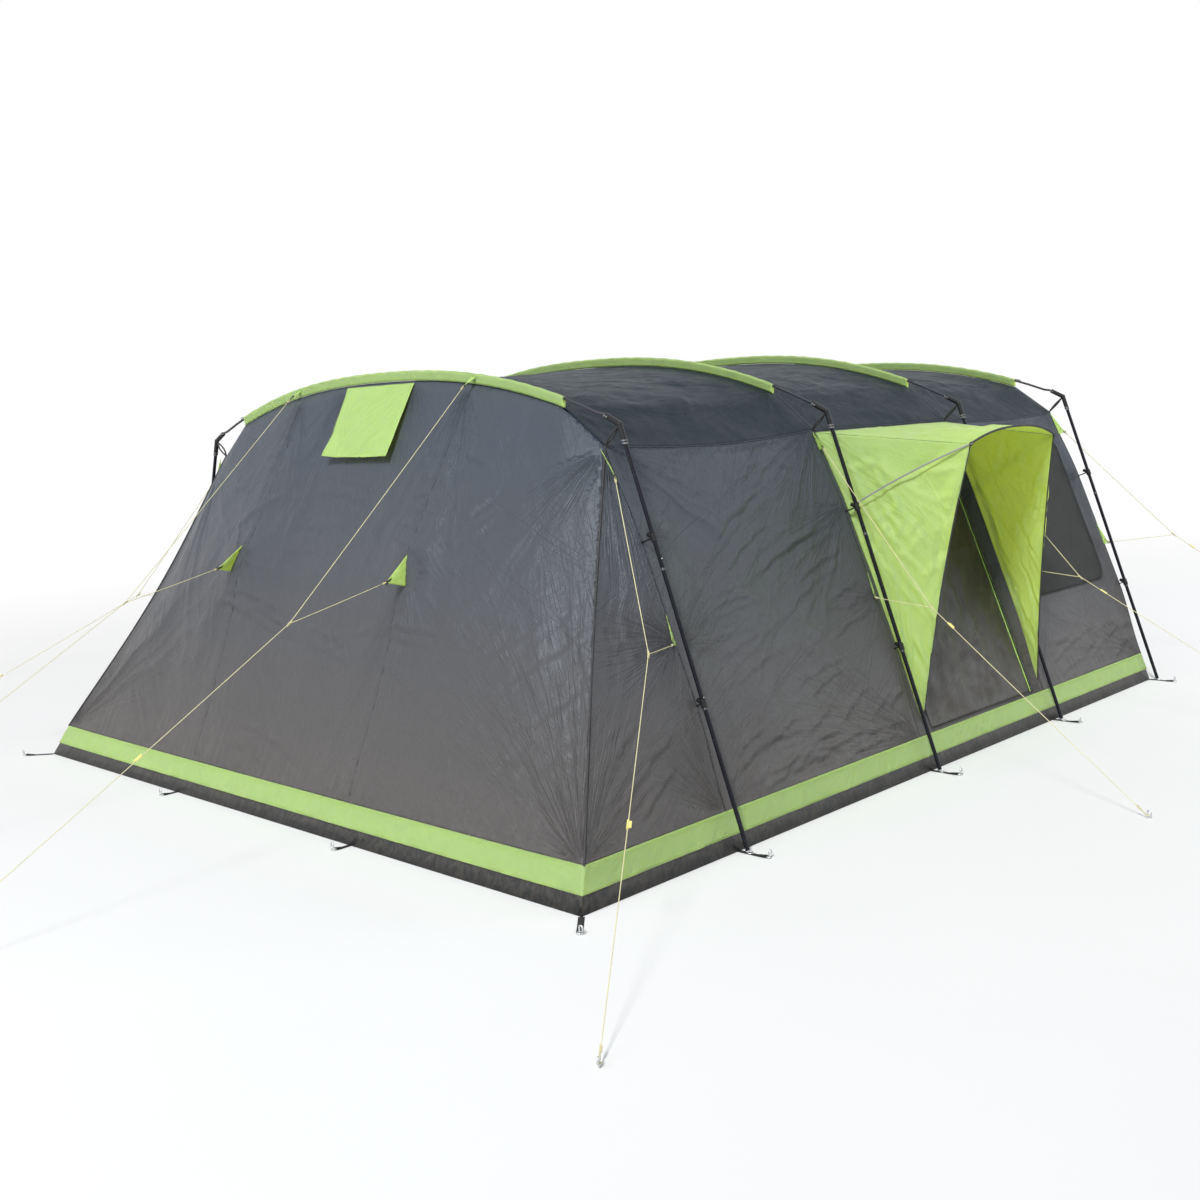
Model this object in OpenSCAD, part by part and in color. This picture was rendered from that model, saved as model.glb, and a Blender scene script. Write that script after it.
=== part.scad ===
// Tunnel tent on four pole arches, with a slanted sleeping end and a side porch.
// X runs along the tunnel, the slanted end at -X; the porch is on the -Y side; Z is up.
// The origin is on the ground, in the middle of the pegged-out tent without its guy lines.

/* [Arches] */
// Spacing of arches 1 and 2, over the sleeping cabin
bay_1 = 1500; // [1450:10:1600]
// Spacing of arches 2 and 3, over the side door
bay_2 = 1280; // [1240:10:1340]
// Spacing of arches 3 and 4, beside the window
bay_3 = 1280; // [1240:10:1400]
// Height of the top of arch 1
apex_1 = 2050; // [2030:5:2080]
// Height of the tops of arches 2 and 3
apex_mid = 2100; // [2080:5:2130]
// Height of the top of arch 4
apex_4 = 2040; // [2020:5:2080]
// Height of the elbows
elbow_z = 1755; // [1745:5:1765]
// Distance of the elbows from the middle plane
elbow_y = 1620; // [1610:5:1640]
// Distance of the feet from the middle plane
foot_y = 2225; // [2215:5:2250]
// Outer diameter of the roof poles
roof_pole_d = 13; // [11:0.5:15]
// Outer diameter of the leg tubes
leg_d = 19; // [16:0.5:22]
// Wall of the leg tubes
leg_wall = 1.2; // [0.8:0.1:1.6]
// Outer diameter of the elbows
elbow_d = 25; // [24:0.5:28]
// Length of each arm of an elbow
elbow_arm = 85; // [70:5:100]

/* [Flysheet] */
// Thickness of the cloth panels
cloth_t = 3; // [2:0.5:4]
// Distance from the middle plane to the foot of a side wall
wall_foot_y = 2180; // [2170:5:2190]
// Distance from the middle plane to the shoulder seam
shoulder_y = 1530; // [1520:5:1540]
// Height of the shoulder seam
shoulder_z = 1665; // [1655:5:1675]
// How far the foot of the slanted end wall stands out from arch 1
overhang = 920; // [860:10:980]
// Half of the length of the sleeve over a roof pole
sleeve_y = 1300; // [1250:10:1340]
// Height of a sleeve's skirt below its pole
sleeve_drop = 41; // [30:1:50]
// Dip of the roof between two arches
roof_sag = 20; // [0:5:40]
// Height along the wall of the lower edge of the coloured band
band_low = 70; // [60:5:80]
// Width of the coloured band
band_w = 100; // [80:5:110]

/* [Groundsheet] */
// Height of the rim of the groundsheet
sheet_rim = 110; // [100:5:130]
// Thickness of the groundsheet
sheet_t = 2; // [1.5:0.5:3]

/* [Side door] */
// Width of the doorway
door_w = 1040; // [960:10:1070]
// Height of the sill along the wall
door_sill = 190; // [180:5:220]
// Height of the doorway along the wall
door_h = 1400; // [1300:10:1420]
// Width of the stiff edge that carries the zip
door_edge_w = 26; // [20:1:34]
// Corner radius at the top of the doorway
door_r = 120; // [80:5:160]

/* [Porch] */
// How far the front corners of the porch stand out from the middle plane
porch_y = 2290; // [2250:5:2300]
// Height of the front corners of the porch
porch_z = 1570; // [1540:5:1600]
// Distance of each front corner from its arch, along the tunnel
porch_in = 215; // [180:5:240]
// Rise of the front edge of the porch over its corners
porch_rise = 65; // [40:5:80]
// Height of the lower tips of the porch cheeks
porch_tip_z = 215; // [190:5:260]
// Diameter of the bow that holds the porch out
bow_d = 8.5; // [7:0.5:10]

/* [Window] */
// Height along the wall of the window's lower edge
window_low = 680; // [640:10:720]
// Height of the window along the wall
window_h = 930; // [860:10:950]
// Distance of the window from the arches on its two sides
window_in = 90; // [80:5:120]
// Corner radius of the window
window_r = 90; // [60:5:120]

/* [Vent] */
// Width of the vent hood
hood_w = 550; // [500:10:600]
// Length of the vent hood
hood_l = 400; // [380:5:420]
// Angle at which the hood stands off the wall
hood_open = 5.5; // [5:0.5:9]
// Width of the vent opening
vent_w = 400; // [340:10:440]
// Height of the vent opening
vent_h = 230; // [200:5:250]

/* [Cabin] */
// Length of the sleeping cabin at its floor
cabin_l = 2200; // [2050:10:2250]
// Half width of the cabin at its floor
cabin_y = 2080; // [2000:10:2100]
// Length of the hangers between the cabin's ceiling and the roof
hanger_l = 125; // [100:5:150]
// Height of the cabin
cabin_h = 1650; // [1600:5:1670]
// Length of the cabin at its ceiling
cabin_top_l = 1340; // [1250:10:1360]
// Thickness of the cabin's cloth
cabin_t = 2; // [1.5:0.5:3]
// Width of the cabin's doorway
cabin_door_w = 720; // [600:10:800]
// Height of the cabin's doorway
cabin_door_h = 1340; // [1200:10:1400]

/* [Pegs and guy lines] */
// Diameter of the steel pegs
peg_d = 6; // [5:0.5:7]
// How far the pegs of the feet stand out from the feet
foot_peg_reach = 105; // [90:5:130]
// How far the pegs of the back corners stand out from the end wall, along the tunnel
corner_reach = 117.5; // [105:0.5:140]
// How far the pegs of the front stand out from arch 4
front_reach = 97.5; // [85:0.5:120]
// Width of the webbing
web_w = 25; // [20:1:30]
// Diameter of the guy lines
guy_d = 3.5; // [3:0.25:4.5]

/* [Hidden] */
$fn = 48;

gap = 0.3;              // clearance between pieces that touch
slide_gap = 0.5;        // clearance of a runner on its line
lime = "#9fd53a";
dark = "#45434a";
black = "#1d1d1f";
steel = "#2b2f38";
cream = "#e6dfae";

// Places of the arches along X, with the pegged-out tent centred on the origin
end_x = (corner_reach - overhang - bay_1 - bay_2 - bay_3 - front_reach) / 2;    // foot of the end wall
arch_x = [for (d = [0, bay_1, bay_1 + bay_2, bay_1 + bay_2 + bay_3]) end_x + overhang + d];
apex = [apex_1, apex_mid, apex_mid, apex_4];

// Side wall: its lean from upright, and its length up to the shoulder
wall_lean = atan2(wall_foot_y - shoulder_y, shoulder_z);
wall_l = norm([wall_foot_y - shoulder_y, shoulder_z]);
band_top = band_low + band_w;
leg_tilt = atan2(foot_y - elbow_y, elbow_z);
leg_l = norm([foot_y - elbow_y, elbow_z]);

// Height of a roof pole's middle line at distance y, and its slope
function pole_z(y, top) = elbow_z + (top - elbow_z) * (1 - pow(abs(y) / elbow_y, 2.35));
function pole_dir(y, top) =
    let (d = [1, pole_z(abs(y) + 0.5, top) - pole_z(abs(y) - 0.5, top)]) d / norm(d);
// Point of an arch at distance y, moved by off away from the middle of the tent
function arch_pt(y, top, off) = let (d = pole_dir(y, top))
    [y - sign(y) * d[1] * off, pole_z(y, top) + d[0] * off];
// Height of the flysheet at distance y under an arch: it leaves the pole where the sleeve ends
function cloth_z(y, top) = abs(y) <= sleeve_y ? pole_z(y, top) - sleeve_drop
    : let (a = pole_z(sleeve_y, top) - sleeve_drop)
        a + (shoulder_z - a) * (abs(y) - sleeve_y) / (shoulder_y - sleeve_y);
// Distance from the middle plane at which the cloth under arch 1 is at height z
function cloth_y(z) = let (edge = cloth_z(sleeve_y, apex_1))
    z < edge ? shoulder_y - (max(z, shoulder_z) - shoulder_z) * (shoulder_y - sleeve_y) / (edge - shoulder_z)
        : elbow_y * pow(1 - (z + sleeve_drop - elbow_z) / (apex_1 - elbow_z), 1 / 2.35);
// Height of the roof between arches i and i + 1, at share u of the bay
function roof_z(i, u, y) = cloth_z(y, apex[i]) * (1 - u) + cloth_z(y, apex[i + 1]) * u
    - roof_sag * 4 * u * (1 - u) * (1 - pow(y / shoulder_y, 2));
// Point of the slanted end wall: k from -1 to 1 across, at height z
function end_pt(k, z) =
    let (top = [arch_x[0] - gap, k * shoulder_y, cloth_z(k * shoulder_y, apex[0])],
        foot = [end_x, k * wall_foot_y, 0]) foot + (top - foot) * z / top[2];
// Distance of a side wall from the middle plane at height z, and a point just off the near wall
function wall_at(z) = wall_foot_y - z * tan(wall_lean);
function off_wall(x, z) = [x, -wall_at(z) - gap, z];
// Place on the corner seam of the near wall, at height s along the wall
function seam_x(s) = end_x + overhang * s / wall_l;
function unit(v) = v / norm(v);

module both_sides() {
    children();
    mirror([0, 1, 0]) children();
}

// Stands its children at p with their Z along v
module along(p, v) translate(p)
    rotate([0, acos(v[2] / norm(v)), atan2(v[1], v[0])]) children();

module rod(p, q, d) along(p, q - p) cylinder(h = norm(q - p), d = d);

// Lays a drawing on the near side wall: X along the tunnel, Y up the wall, Z outwards
module on_wall() translate([0, -wall_foot_y, 0]) rotate([90 - wall_lean, 0, 0]) children();

// Cloth panel on the near side wall, off its face by out
module wall_panel(out = 0, t = cloth_t) on_wall() translate([0, 0, out - t])
    linear_extrude(t) children();

// Rectangle with its corners rounded by r, made of true arcs
module rounded(w, h, r) {
    translate([r, 0]) square([w - 2 * r, h]);
    translate([0, r]) square([w, h - 2 * r]);
    for (x = [r, w - r], y = [r, h - r]) translate([x, y]) circle(r);
}

// Closed sheet of thickness t behind the surface f(u, v), with u and v from 0 to 1
module sheet(f, nu, nv, t) {
    e = 0.002;
    m = nv + 1;
    last = (nu + 1) * m;
    function off(u, v) = let (a = f(min(u + e, 1), v) - f(max(u - e, 0), v),
        b = f(u, min(v + e, 1)) - f(u, max(v - e, 0))) unit(cross(a, b)) * t;
    rim = concat([for (j = [0:nv - 1]) j], [for (i = [0:nu - 1]) i * m + nv],
        [for (j = [nv:-1:1]) nu * m + j], [for (i = [nu:-1:1]) i * m]);
    polyhedron(
        concat([for (i = [0:nu], j = [0:nv]) f(i / nu, j / nv)],
            [for (i = [0:nu], j = [0:nv]) f(i / nu, j / nv) - off(i / nu, j / nv)]),
        concat(
            [for (i = [0:nu - 1], j = [0:nv - 1], k = [0, 1]) let (a = i * m + j)
                k == 0 ? [a, a + 1, a + m + 1] : [a, a + m + 1, a + m]],
            [for (i = [0:nu - 1], j = [0:nv - 1], k = [0, 1]) let (a = last + i * m + j)
                k == 0 ? [a, a + m + 1, a + 1] : [a, a + m, a + m + 1]],
            [for (i = [0:len(rim) - 1], k = [0, 1])
                let (a = rim[i], b = rim[(i + 1) % len(rim)])
                k == 0 ? [a, a + last, b] : [b, a + last, b + last]]));
}

// Flat plate of thickness t behind the outline p, whose points run anticlockwise from outside
module plate(p, t) {
    n = len(p);
    back = unit(cross(p[1] - p[0], p[2] - p[0])) * t;
    polyhedron(concat(p, [for (q = p) q - back]),
        concat([[for (i = [n - 1:-1:0]) i]], [[for (i = [0:n - 1]) n + i]],
            [for (i = [0:n - 1]) [i, (i + 1) % n, n + (i + 1) % n, n + i]]));
}

// Round tube through the points p; ref is any direction that the tube never takes
module tube(p, d, sides, ref) {
    n = len(p);
    function t(i) = unit(p[min(i + 1, n - 1)] - p[max(i - 1, 0)]);
    polyhedron(
        [for (i = [0:n - 1], k = [0:sides - 1])
            let (s = unit(cross(t(i), ref)), up = cross(s, t(i)), a = 360 * k / sides)
            p[i] + (s * cos(a) + up * sin(a)) * d / 2],
        concat([[for (k = [0:sides - 1]) k]],
            [for (i = [0:n - 2], k = [0:sides - 1], h = [0, 1])
                let (a = i * sides + k, b = i * sides + (k + 1) % sides)
                h == 0 ? [b, a, a + sides] : [b, a + sides, b + sides]],
            [[for (k = [sides - 1:-1:0]) (n - 1) * sides + k]]));
}

// ---- Poles ----

// Directions of an elbow's two arms, on the near side
roof_arm = let (d = pole_dir(elbow_y, apex_mid)) [0, d[0], -d[1]];
leg_arm = unit([0, -(foot_y - elbow_y), -elbow_z]);
socket = 45;            // depth of the pole end and of the leg in the elbow

module roof_pole(i) color(steel) {
    top = apex[i];
    ends = elbow_y - elbow_arm - 40;
    corner = [arch_x[i], -elbow_y, elbow_z];
    first = [for (t = [elbow_arm - socket, elbow_arm + 10]) corner + roof_arm * t];
    flip = [for (q = [first[1], first[0]]) [q[0], -q[1], q[2]]];
    tube(concat(first, [for (k = [-14:14]) [arch_x[i], k / 14 * ends, pole_z(k / 14 * ends, top)]],
        flip), roof_pole_d, 10, [1, 0, 0]);
}

module elbow_at(i) translate([arch_x[i], -elbow_y, elbow_z]) difference() {
    union() {
        sphere(d = elbow_d + 2);
        rod([0, 0, 0], roof_arm * elbow_arm, elbow_d);
        rod([0, 0, 0], leg_arm * elbow_arm, elbow_d);
    }
    rod(roof_arm * (elbow_arm - socket - 1), roof_arm * (elbow_arm + 1), roof_pole_d + 2 * gap);
    rod(leg_arm * (elbow_arm - socket), leg_arm * (elbow_arm + 1), leg_d + 2 * gap);
}

module pole_elbows() color(black) both_sides() for (i = [0:3]) elbow_at(i);

leg_foot_gap = 12;      // from the ground point of a leg to its lower end
leg_sections = 3;
spigot = 70;            // length of the spigot of a leg section in the one above

module leg(i) {
    top = [arch_x[i], -elbow_y, elbow_z] + leg_arm * (elbow_arm - socket + gap);
    total = leg_l - (elbow_arm - socket + gap) - leg_foot_gap;
    part = total / leg_sections;
    bore = leg_d - 2 * leg_wall;
    for (k = [0:leg_sections - 1]) along(top + leg_arm * part * k, leg_arm) difference() {
        union() {
            translate([0, 0, k == 0 ? 0 : gap]) cylinder(h = part - (k == 0 ? 0 : gap), d = leg_d);
            if (k > 0) translate([0, 0, -spigot])
                cylinder(h = spigot + 10, d = bore - 2 * gap);
        }
        if (k < leg_sections - 1) translate([0, 0, part - spigot - 2])
            cylinder(h = spigot + 3, d = bore);
        else translate([0, 0, part - pin_l]) cylinder(h = pin_l + 1, d = bore);
    }
}

module legs(i) color(steel) both_sides() leg(i);

pin_l = 60;             // depth of the hollow for the foot pin
pin_d = 8;

module foot_pins() color("silver") both_sides() for (x = arch_x) translate([x, -foot_y, 0]) {
    up = -leg_arm;
    rod(up * 6, up * (leg_foot_gap + pin_l - 8), pin_d);
    rod(up * (leg_foot_gap - gap - 4), up * (leg_foot_gap - gap), leg_d);
    translate([0, -9, sheet_t + gap + 2.5]) rotate_extrude() translate([11, 0]) circle(d = 5);
}

// Flat strap on the ground from p, with a rounded end around a peg at q
module strap(p, q) difference() {
    union() {
        translate([p[0], p[1], 0]) rotate([0, 0, atan2(q[1] - p[1], q[0] - p[0])])
            translate([0, -web_w / 2, 0]) cube([norm(q - p), web_w, sheet_t]);
        translate([q[0], q[1], 0]) cylinder(h = sheet_t, d = web_w);
    }
    translate([q[0], q[1], -1]) cylinder(h = sheet_t + 2, d = peg_d + 2 * gap);
}

module foot_straps() color(black) both_sides() for (x = arch_x)
    strap([x, tray_in - wall_foot_y - gap], [x, -foot_y - foot_peg_reach]);

// ---- Flysheet ----

roof_seam = 0.5;        // from an arch's plane to the edge of the roof on each side

module roof_panel(i) color(dark) {
    x0 = arch_x[i] + (i == 0 ? 0 : roof_seam);
    x1 = arch_x[i + 1] - (i == 2 ? 0 : roof_seam);
    sheet(function(u, v) let (y = (2 * v - 1) * shoulder_y)
        [x0 + (x1 - x0) * u, y, roof_z(i, u, y)], 6, 26, cloth_t);
}

sleeve_t = 2;

// Sleeve over a roof pole: a top and two skirts that run down to the roof
module sleeve(i) {
    half = roof_pole_d / 2 + 1;
    n = 24;
    y = [for (k = [-n:n]) k / n * (sleeve_y - 4)];
    function over(off) = [for (a = y) arch_pt(a, apex[i], off)];
    function back(line) = [for (k = [len(line) - 1:-1:0]) line[k]];
    roof = [for (a = y) [a, cloth_z(a, apex[i]) + 2 * gap]];
    translate([arch_x[i], 0, 0]) rotate([90, 0, 90]) {
        translate([0, 0, -half]) linear_extrude(2 * half)
            polygon(concat(over(half), back(over(half + sleeve_t))));
        for (s = [-half - sleeve_t, half]) translate([0, 0, s]) linear_extrude(sleeve_t)
            polygon(concat(roof, back(over(half + sleeve_t))));
    }
}

module pole_sleeves() color(lime) for (i = [0:3]) sleeve(i);

// Corners of a near wall panel between arches a and b, with cloth from the band up
module wall_outline(a, b) translate([arch_x[a] + gap, band_top + gap])
    square([arch_x[b] - arch_x[a] - 2 * gap, wall_l - band_top - 2 * gap - cloth_t]);

module side_wall() color(dark) wall_panel() wall_outline(0, 1);

door_x = (arch_x[1] + arch_x[2] - door_w) / 2;      // hinge side of the doorway, midway in its bay

module doorway() translate([door_x, door_sill]) {
    square([door_w, door_h - door_r]);
    rounded(door_w, door_h, door_r);
}

module door_wall() color(dark) wall_panel() difference() {
    wall_outline(1, 2);
    doorway();
}

module window(grow = 0) translate([arch_x[2] + window_in - grow, window_low - grow])
    rounded(bay_3 - 2 * window_in + 2 * grow, window_h + 2 * grow, window_r + grow);

module window_wall() color(dark) wall_panel() difference() {
    wall_outline(2, 3);
    window();
}

module far_wall() color(dark) mirror([0, 1, 0]) {
    wall_panel() wall_outline(0, 1);
    wall_panel() wall_outline(1, 2);
    wall_panel() difference() {
        wall_outline(2, 3);
        window();
    }
}

module window_panes() color("dimgray") both_sides()
    wall_panel(-cloth_t / 2 + 0.5, 1) window(-gap);

// Triangle of the side wall behind arch 1, up to the back of the end wall
module gussets() color(dark) both_sides() wall_panel() polygon([
    [seam_x(band_top) + 1.5 * cloth_t, band_top + gap], [arch_x[0] - gap, band_top + gap],
    [arch_x[0] - gap, wall_l - 8 * cloth_t]]);

vent_drop = 304;        // from the top of the end wall to the vent's lower edge
vent_z = cloth_z(0, apex_1) - vent_drop;

end_seam = band_top * cos(wall_lean);       // height of the seam between band and end wall
under_roof = 7;         // the end wall ends this far below the roof, clear of its edge

module end_wall() color(dark) difference() {
    sheet(function(u, v) let (k = 1 - 2 * u, low = end_seam + gap,
        top = cloth_z(k * shoulder_y, apex[0]) - under_roof)
        end_pt(k, low + (top - low) * v), 24, 6, cloth_t);
    translate([arch_x[0] - overhang, -vent_w / 2, vent_z]) cube([overhang, vent_w, vent_h]);
}

// Outline of the upright front wall from height z0 up, inset by off
function front_pts(z0, off) = let (foot = wall_foot_y - z0 * tan(wall_lean) - off)
    concat([[-foot, z0], [foot, z0]],
        [for (k = [10:-1:-10]) [k / 10 * (shoulder_y - off), cloth_z(k / 10 * shoulder_y, apex_4) - off]]);

module front_wall() color(dark) translate([arch_x[3] - cloth_t, 0, 0]) rotate([90, 0, 90])
    linear_extrude(cloth_t) polygon(front_pts(end_seam + gap, cloth_t + 2 * gap));

module hem_band() color(lime) {
    both_sides() wall_panel(1, cloth_t + 1) polygon([[seam_x(band_low) + 5, band_low],
        [arch_x[3], band_low], [arch_x[3], band_top], [seam_x(band_top) + 5, band_top]]);
    low = band_low * cos(wall_lean);
    high = end_seam - gap;
    sheet(function(u, v) end_pt((1 - 2 * u) * 0.999, low + (high - low) * v) - [1, 0, 0],
        16, 1, cloth_t);
    translate([arch_x[3] + gap, 0, 0]) rotate([90, 0, 90]) linear_extrude(cloth_t)
        polygon([for (s = [[-1, low], [1, low], [1, high], [-1, high]])
            [s[0] * (wall_foot_y - s[1] * tan(wall_lean)), s[1]]]);
}

module tray(in, z0, z1) {
    function corners(z) = let (y = wall_foot_y - in - z * tan(wall_lean),
        x = end_x + in + z * overhang / shoulder_z)
        [[x, -y, z], [arch_x[3] - in, -y, z], [arch_x[3] - in, y, z], [x, y, z]];
    polyhedron(concat(corners(z0), corners(z1)), [[0, 1, 2, 3], [7, 6, 5, 4],
        [0, 4, 5, 1], [1, 5, 6, 2], [2, 6, 7, 3], [3, 7, 4, 0]]);
}

tray_in = cloth_t + 0.7;       // from the wall's foot to the groundsheet's rim

module groundsheet() color("#2c3138") difference() {
    tray(tray_in, 0, sheet_rim);
    tray(tray_in + sheet_t, sheet_t, sheet_rim + 1);
}

// ---- Porch ----

porch_x = [arch_x[1] + porch_in, arch_x[2] - porch_in];
porch_out = 1.2;        // from the wall to the back edge of the porch's top
porch_t = 2;
seam_up = shoulder_z - 12;

function porch_front(u) = [porch_x[0] + (porch_x[1] - porch_x[0]) * u, -porch_y - 4 * u * (1 - u) * 20,
    porch_z + porch_rise * (1 - pow(abs(2 * u - 1), 2.4))];
function porch_back(u) = [arch_x[1] + 14 + (bay_2 - 28) * u, -wall_at(seam_up) - porch_out, seam_up];

porch_sag = 18;

module porch_top() color(lime)
    sheet(function(u, v) porch_back(u) * (1 - v) + porch_front(u) * v
        - [0, 0, porch_sag * 16 * u * (1 - u) * v * (1 - v)], 14, 4, porch_t);

module porch_cheeks() color(lime) {
    drop = [0, 0, -porch_t - 2 * gap];
    a = off_wall(arch_x[1] + 14, seam_up + drop[2]);
    b = off_wall(arch_x[1] + 60, porch_tip_z);
    c = porch_front(0) + drop;
    plate([b, a, c], porch_t);
    far_a = [arch_x[2] - 14, a[1], a[2]];
    far_b = [arch_x[2] - 60, b[1], b[2]];
    far_c = porch_front(1) + drop;
    plate([far_a, far_b, far_c], porch_t);
}

bow_z = 1300;           // height of the bow's ends on the legs
bow_gap = bow_d / 2 + 0.6;

module porch_bow() color("gray") {
    lead = [for (k = [0, 0.3, 0.6, 0.85]) let (
        leg = [arch_x[1] + leg_d / 2 + bow_d / 2 + gap, -(foot_y - bow_z * tan(leg_tilt)), bow_z],
        tip = porch_front(0) + [-bow_gap, -bow_gap, 0])
        leg + (tip - leg) * k + [-40, 0, 20] * 4 * k * (1 - k) * 0.5];
    front = [for (k = [0:10]) porch_front(k / 10) + [(k / 5 - 1) * bow_gap, -bow_gap, 0]];
    mid = (arch_x[1] + arch_x[2]) / 2;
    tail = [for (k = [len(lead) - 1:-1:0]) [2 * mid - lead[k][0], lead[k][1], lead[k][2]]];
    tube(concat(lead, front, tail), bow_d, 8, [0, 0.3, 1]);
}

// ---- Side door ----

zip_x = door_x + door_w - door_edge_w - gap;

// The door's outline, smaller than the doorway by gap all round
module door_shape() translate([door_x + gap, door_sill + gap]) {
    square([door_w - 2 * gap, door_h - door_r]);
    rounded(door_w - 2 * gap, door_h - 2 * gap, door_r);
}

module side_door() color("#3a3637") wall_panel(-0.5, 2) intersection() {
    door_shape();
    square([zip_x - gap, wall_l]);
}

module door_edge() color(lime) wall_panel(0.5, 3) intersection() {
    door_shape();
    translate([zip_x, 0]) square([door_edge_w, door_sill + door_h - door_r]);
}

slider_s = door_sill + 40;      // height along the wall of the closed zip's slider

module zip_slider() color(black) on_wall() translate([zip_x + door_edge_w / 2, slider_s, 0.5 + gap]) {
    translate([-5, -9, 0]) cube([10, 18, 5]);
    translate([-2.5, -45, 1]) cube([5, 40, 2.5]);
}

// ---- Vent in the slanted end wall ----

hood_z = cloth_z(0, apex_1) - 14;
end_lean = atan2(overhang, cloth_z(0, apex_1));
hood_off = 4;           // from the wall to the hood's hinge line, along the tunnel
hood_at = [end_x + overhang * hood_z / cloth_z(0, apex_1) - hood_off, 0, hood_z];

module hood_frame() translate(hood_at) rotate([0, end_lean + hood_open, 0]) children();

module vent_hood() color(lime) hood_frame() translate([-2, -hood_w / 2, -hood_l])
    cube([2, hood_w, hood_l]);

stay_d = 6;
stay_down = hood_l - 20;        // from the hood's hinge to the stay's
// From the hood to the wall, where the stay stands
stay_l = (hood_off * cos(end_lean) + stay_down * sin(hood_open)) / cos(hood_open);

module vent_stay() color(black) hood_frame() translate([gap, 0, -stay_down]) {
    translate([stay_d / 2, 0, 0]) cylinder(h = 30, d = stay_d, center = true);
    translate([stay_d / 2, 0, 0]) rotate([0, 90, 0])
        cylinder(h = stay_l - stay_d / 2 - 4 * gap, d = stay_d);
}

module vent_mesh() color(black) translate([end_x + overhang * vent_z / cloth_z(0, apex_1), 0, vent_z])
    rotate([0, end_lean, 0]) translate([1, gap - vent_w / 2, 1])
        cube([1, vent_w - 2 * gap, vent_h / cos(end_lean) - 1]);

// ---- Guy points, clips and ties ----

// Guy lines: upper point, joint, end at the peg, lower point
guys = [
    [[-1595, -1611, 1535], [-1920, -2055, 870], [-3260, -3030, 14], [-1595, -1895, 840]],
    [[-95, -1613, 1580], [-110, -2220, 815], [-230, -3300, 14], [-95, -1895, 840]],
    [[1255, -1613, 1580], [1240, -2320, 800], [1540, -3500, 14], [1255, -1895, 840]],
    [[2535, -1611, 1535], [2990, -2120, 850], [3740, -3000, 14], [2535, -1895, 840]],
    [[-1595, 1611, 1535], [-1920, 2055, 870], [-3260, 3030, 14], [-1595, 1895, 840]],
    [[-1632, -714, 1960], [-2665, -720, 1005], [-4400, -750, 14], [-2150, -713, 1112]],
    [[-1632, 714, 1960], [-2665, 720, 1005], [-4400, 750, 14], [-2150, 713, 1112]]];

guy_run = [0.5, 0.1, 0.1, 0.1, 0.5, 0.42, 0.42];     // share of the way from joint to peg

module guy_line(n) color(cream) {
    g = guys[n];
    step = unit(g[1] - g[0]) * 14;
    next = unit(g[2] - g[1]) * 14;
    tube([g[0], g[1] - step, g[1], g[1] + next, g[2]], guy_d, 8, [0, 0, 1]);
    tube([g[3], g[1] - [0, 0, guy_d / 2]], guy_d, 8, [0, 0, 1]);
}

module guy_runner(n) color("#e8e27a") {
    g = guys[n];
    along(g[1] + (g[2] - g[1]) * guy_run[n], g[2] - g[1]) difference() {
        union() {
            cylinder(h = 40, d = 9, center = true);
            translate([0, 7, 0]) cube([4, 12, 30], center = true);
        }
        cylinder(h = 42, d = guy_d + 2 * slide_gap, center = true);
    }
}

// Bent steel peg at p, with its hook towards angle a
module peg(p, a) translate([p[0], p[1], 0]) rotate([0, 0, a]) {
    cylinder(h = 26, d = peg_d);
    translate([8, 0, 26]) rotate([90, 0, 0]) rotate_extrude(angle = 180)
        translate([8, 0]) circle(d = peg_d);
    translate([16, 0, 14]) cylinder(h = 12, d = peg_d);
}

module guy_pegs() color("silver") for (g = guys) {
    flat = unit([g[2][0] - g[1][0], g[2][1] - g[1][1]]);
    peg([g[2][0] + flat[0] * (peg_d / 2 + 1.2), g[2][1] + flat[1] * (peg_d / 2 + 1.2)],
        atan2(flat[1], flat[0]));
}

// Triangle of cloth between a and b on a seam, whose tip meets a guy line at p
module patch(a, b, p) plate([a, b, p + unit((a + b) / 2 - p) * 2 * gap], 2);

patch_up = 110;         // how far a patch runs up its seam from the guy's height
patch_down = 20;        // and down it
patch_top = shoulder_z - 8;     // the highest that one may reach

module guy_patches() color(lime) {
    // On the seams by the arches, each with the upper or the lower point of its guy line
    both_sides() for (i = [0:3], k = [0, 3]) {
        side = i < 2 ? -1 : 1;
        x = arch_x[i] + (i == 3 ? -6 : 6 * side);
        z = guys[i][k][2];
        high = off_wall(x, min(z + patch_up, patch_top));
        low = off_wall(x, z - patch_down);
        if (side < 0) patch(high, low, guys[i][k]);
        else patch(low, high, guys[i][k]);
    }
    // On the slanted end wall, and tabs on the sleeve above them
    both_sides() {
        wall_patch = [for (z = [78, -62]) end_pt(-0.39, guys[5][3][2] + z) - [2 * gap, 0, 0]];
        patch(wall_patch[0], wall_patch[1], guys[5][3]);
        tab = [for (s = [-12, 12]) let (y = guys[5][0][1] + s) [arch_x[0] - 11, y, pole_z(y, apex_1) - 8.5]];
        patch(tab[0], tab[1], guys[5][0]);
    }
}

ring_d = 22;            // spare rings on the far side, where no guy line is tied

module guy_rings() color(black) for (i = [1:3], k = [0, 3])
    translate([guys[i][k][0], -guys[i][k][1] + ring_d / 2 + gap, guys[i][k][2]]) rotate([0, 90, 0])
        difference() {
            cylinder(h = 4, d = ring_d, center = true);
            cylinder(h = 6, d = ring_d - 8, center = true);
        }

clip_z = [1280, 600];   // heights of the clips on the legs

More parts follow.
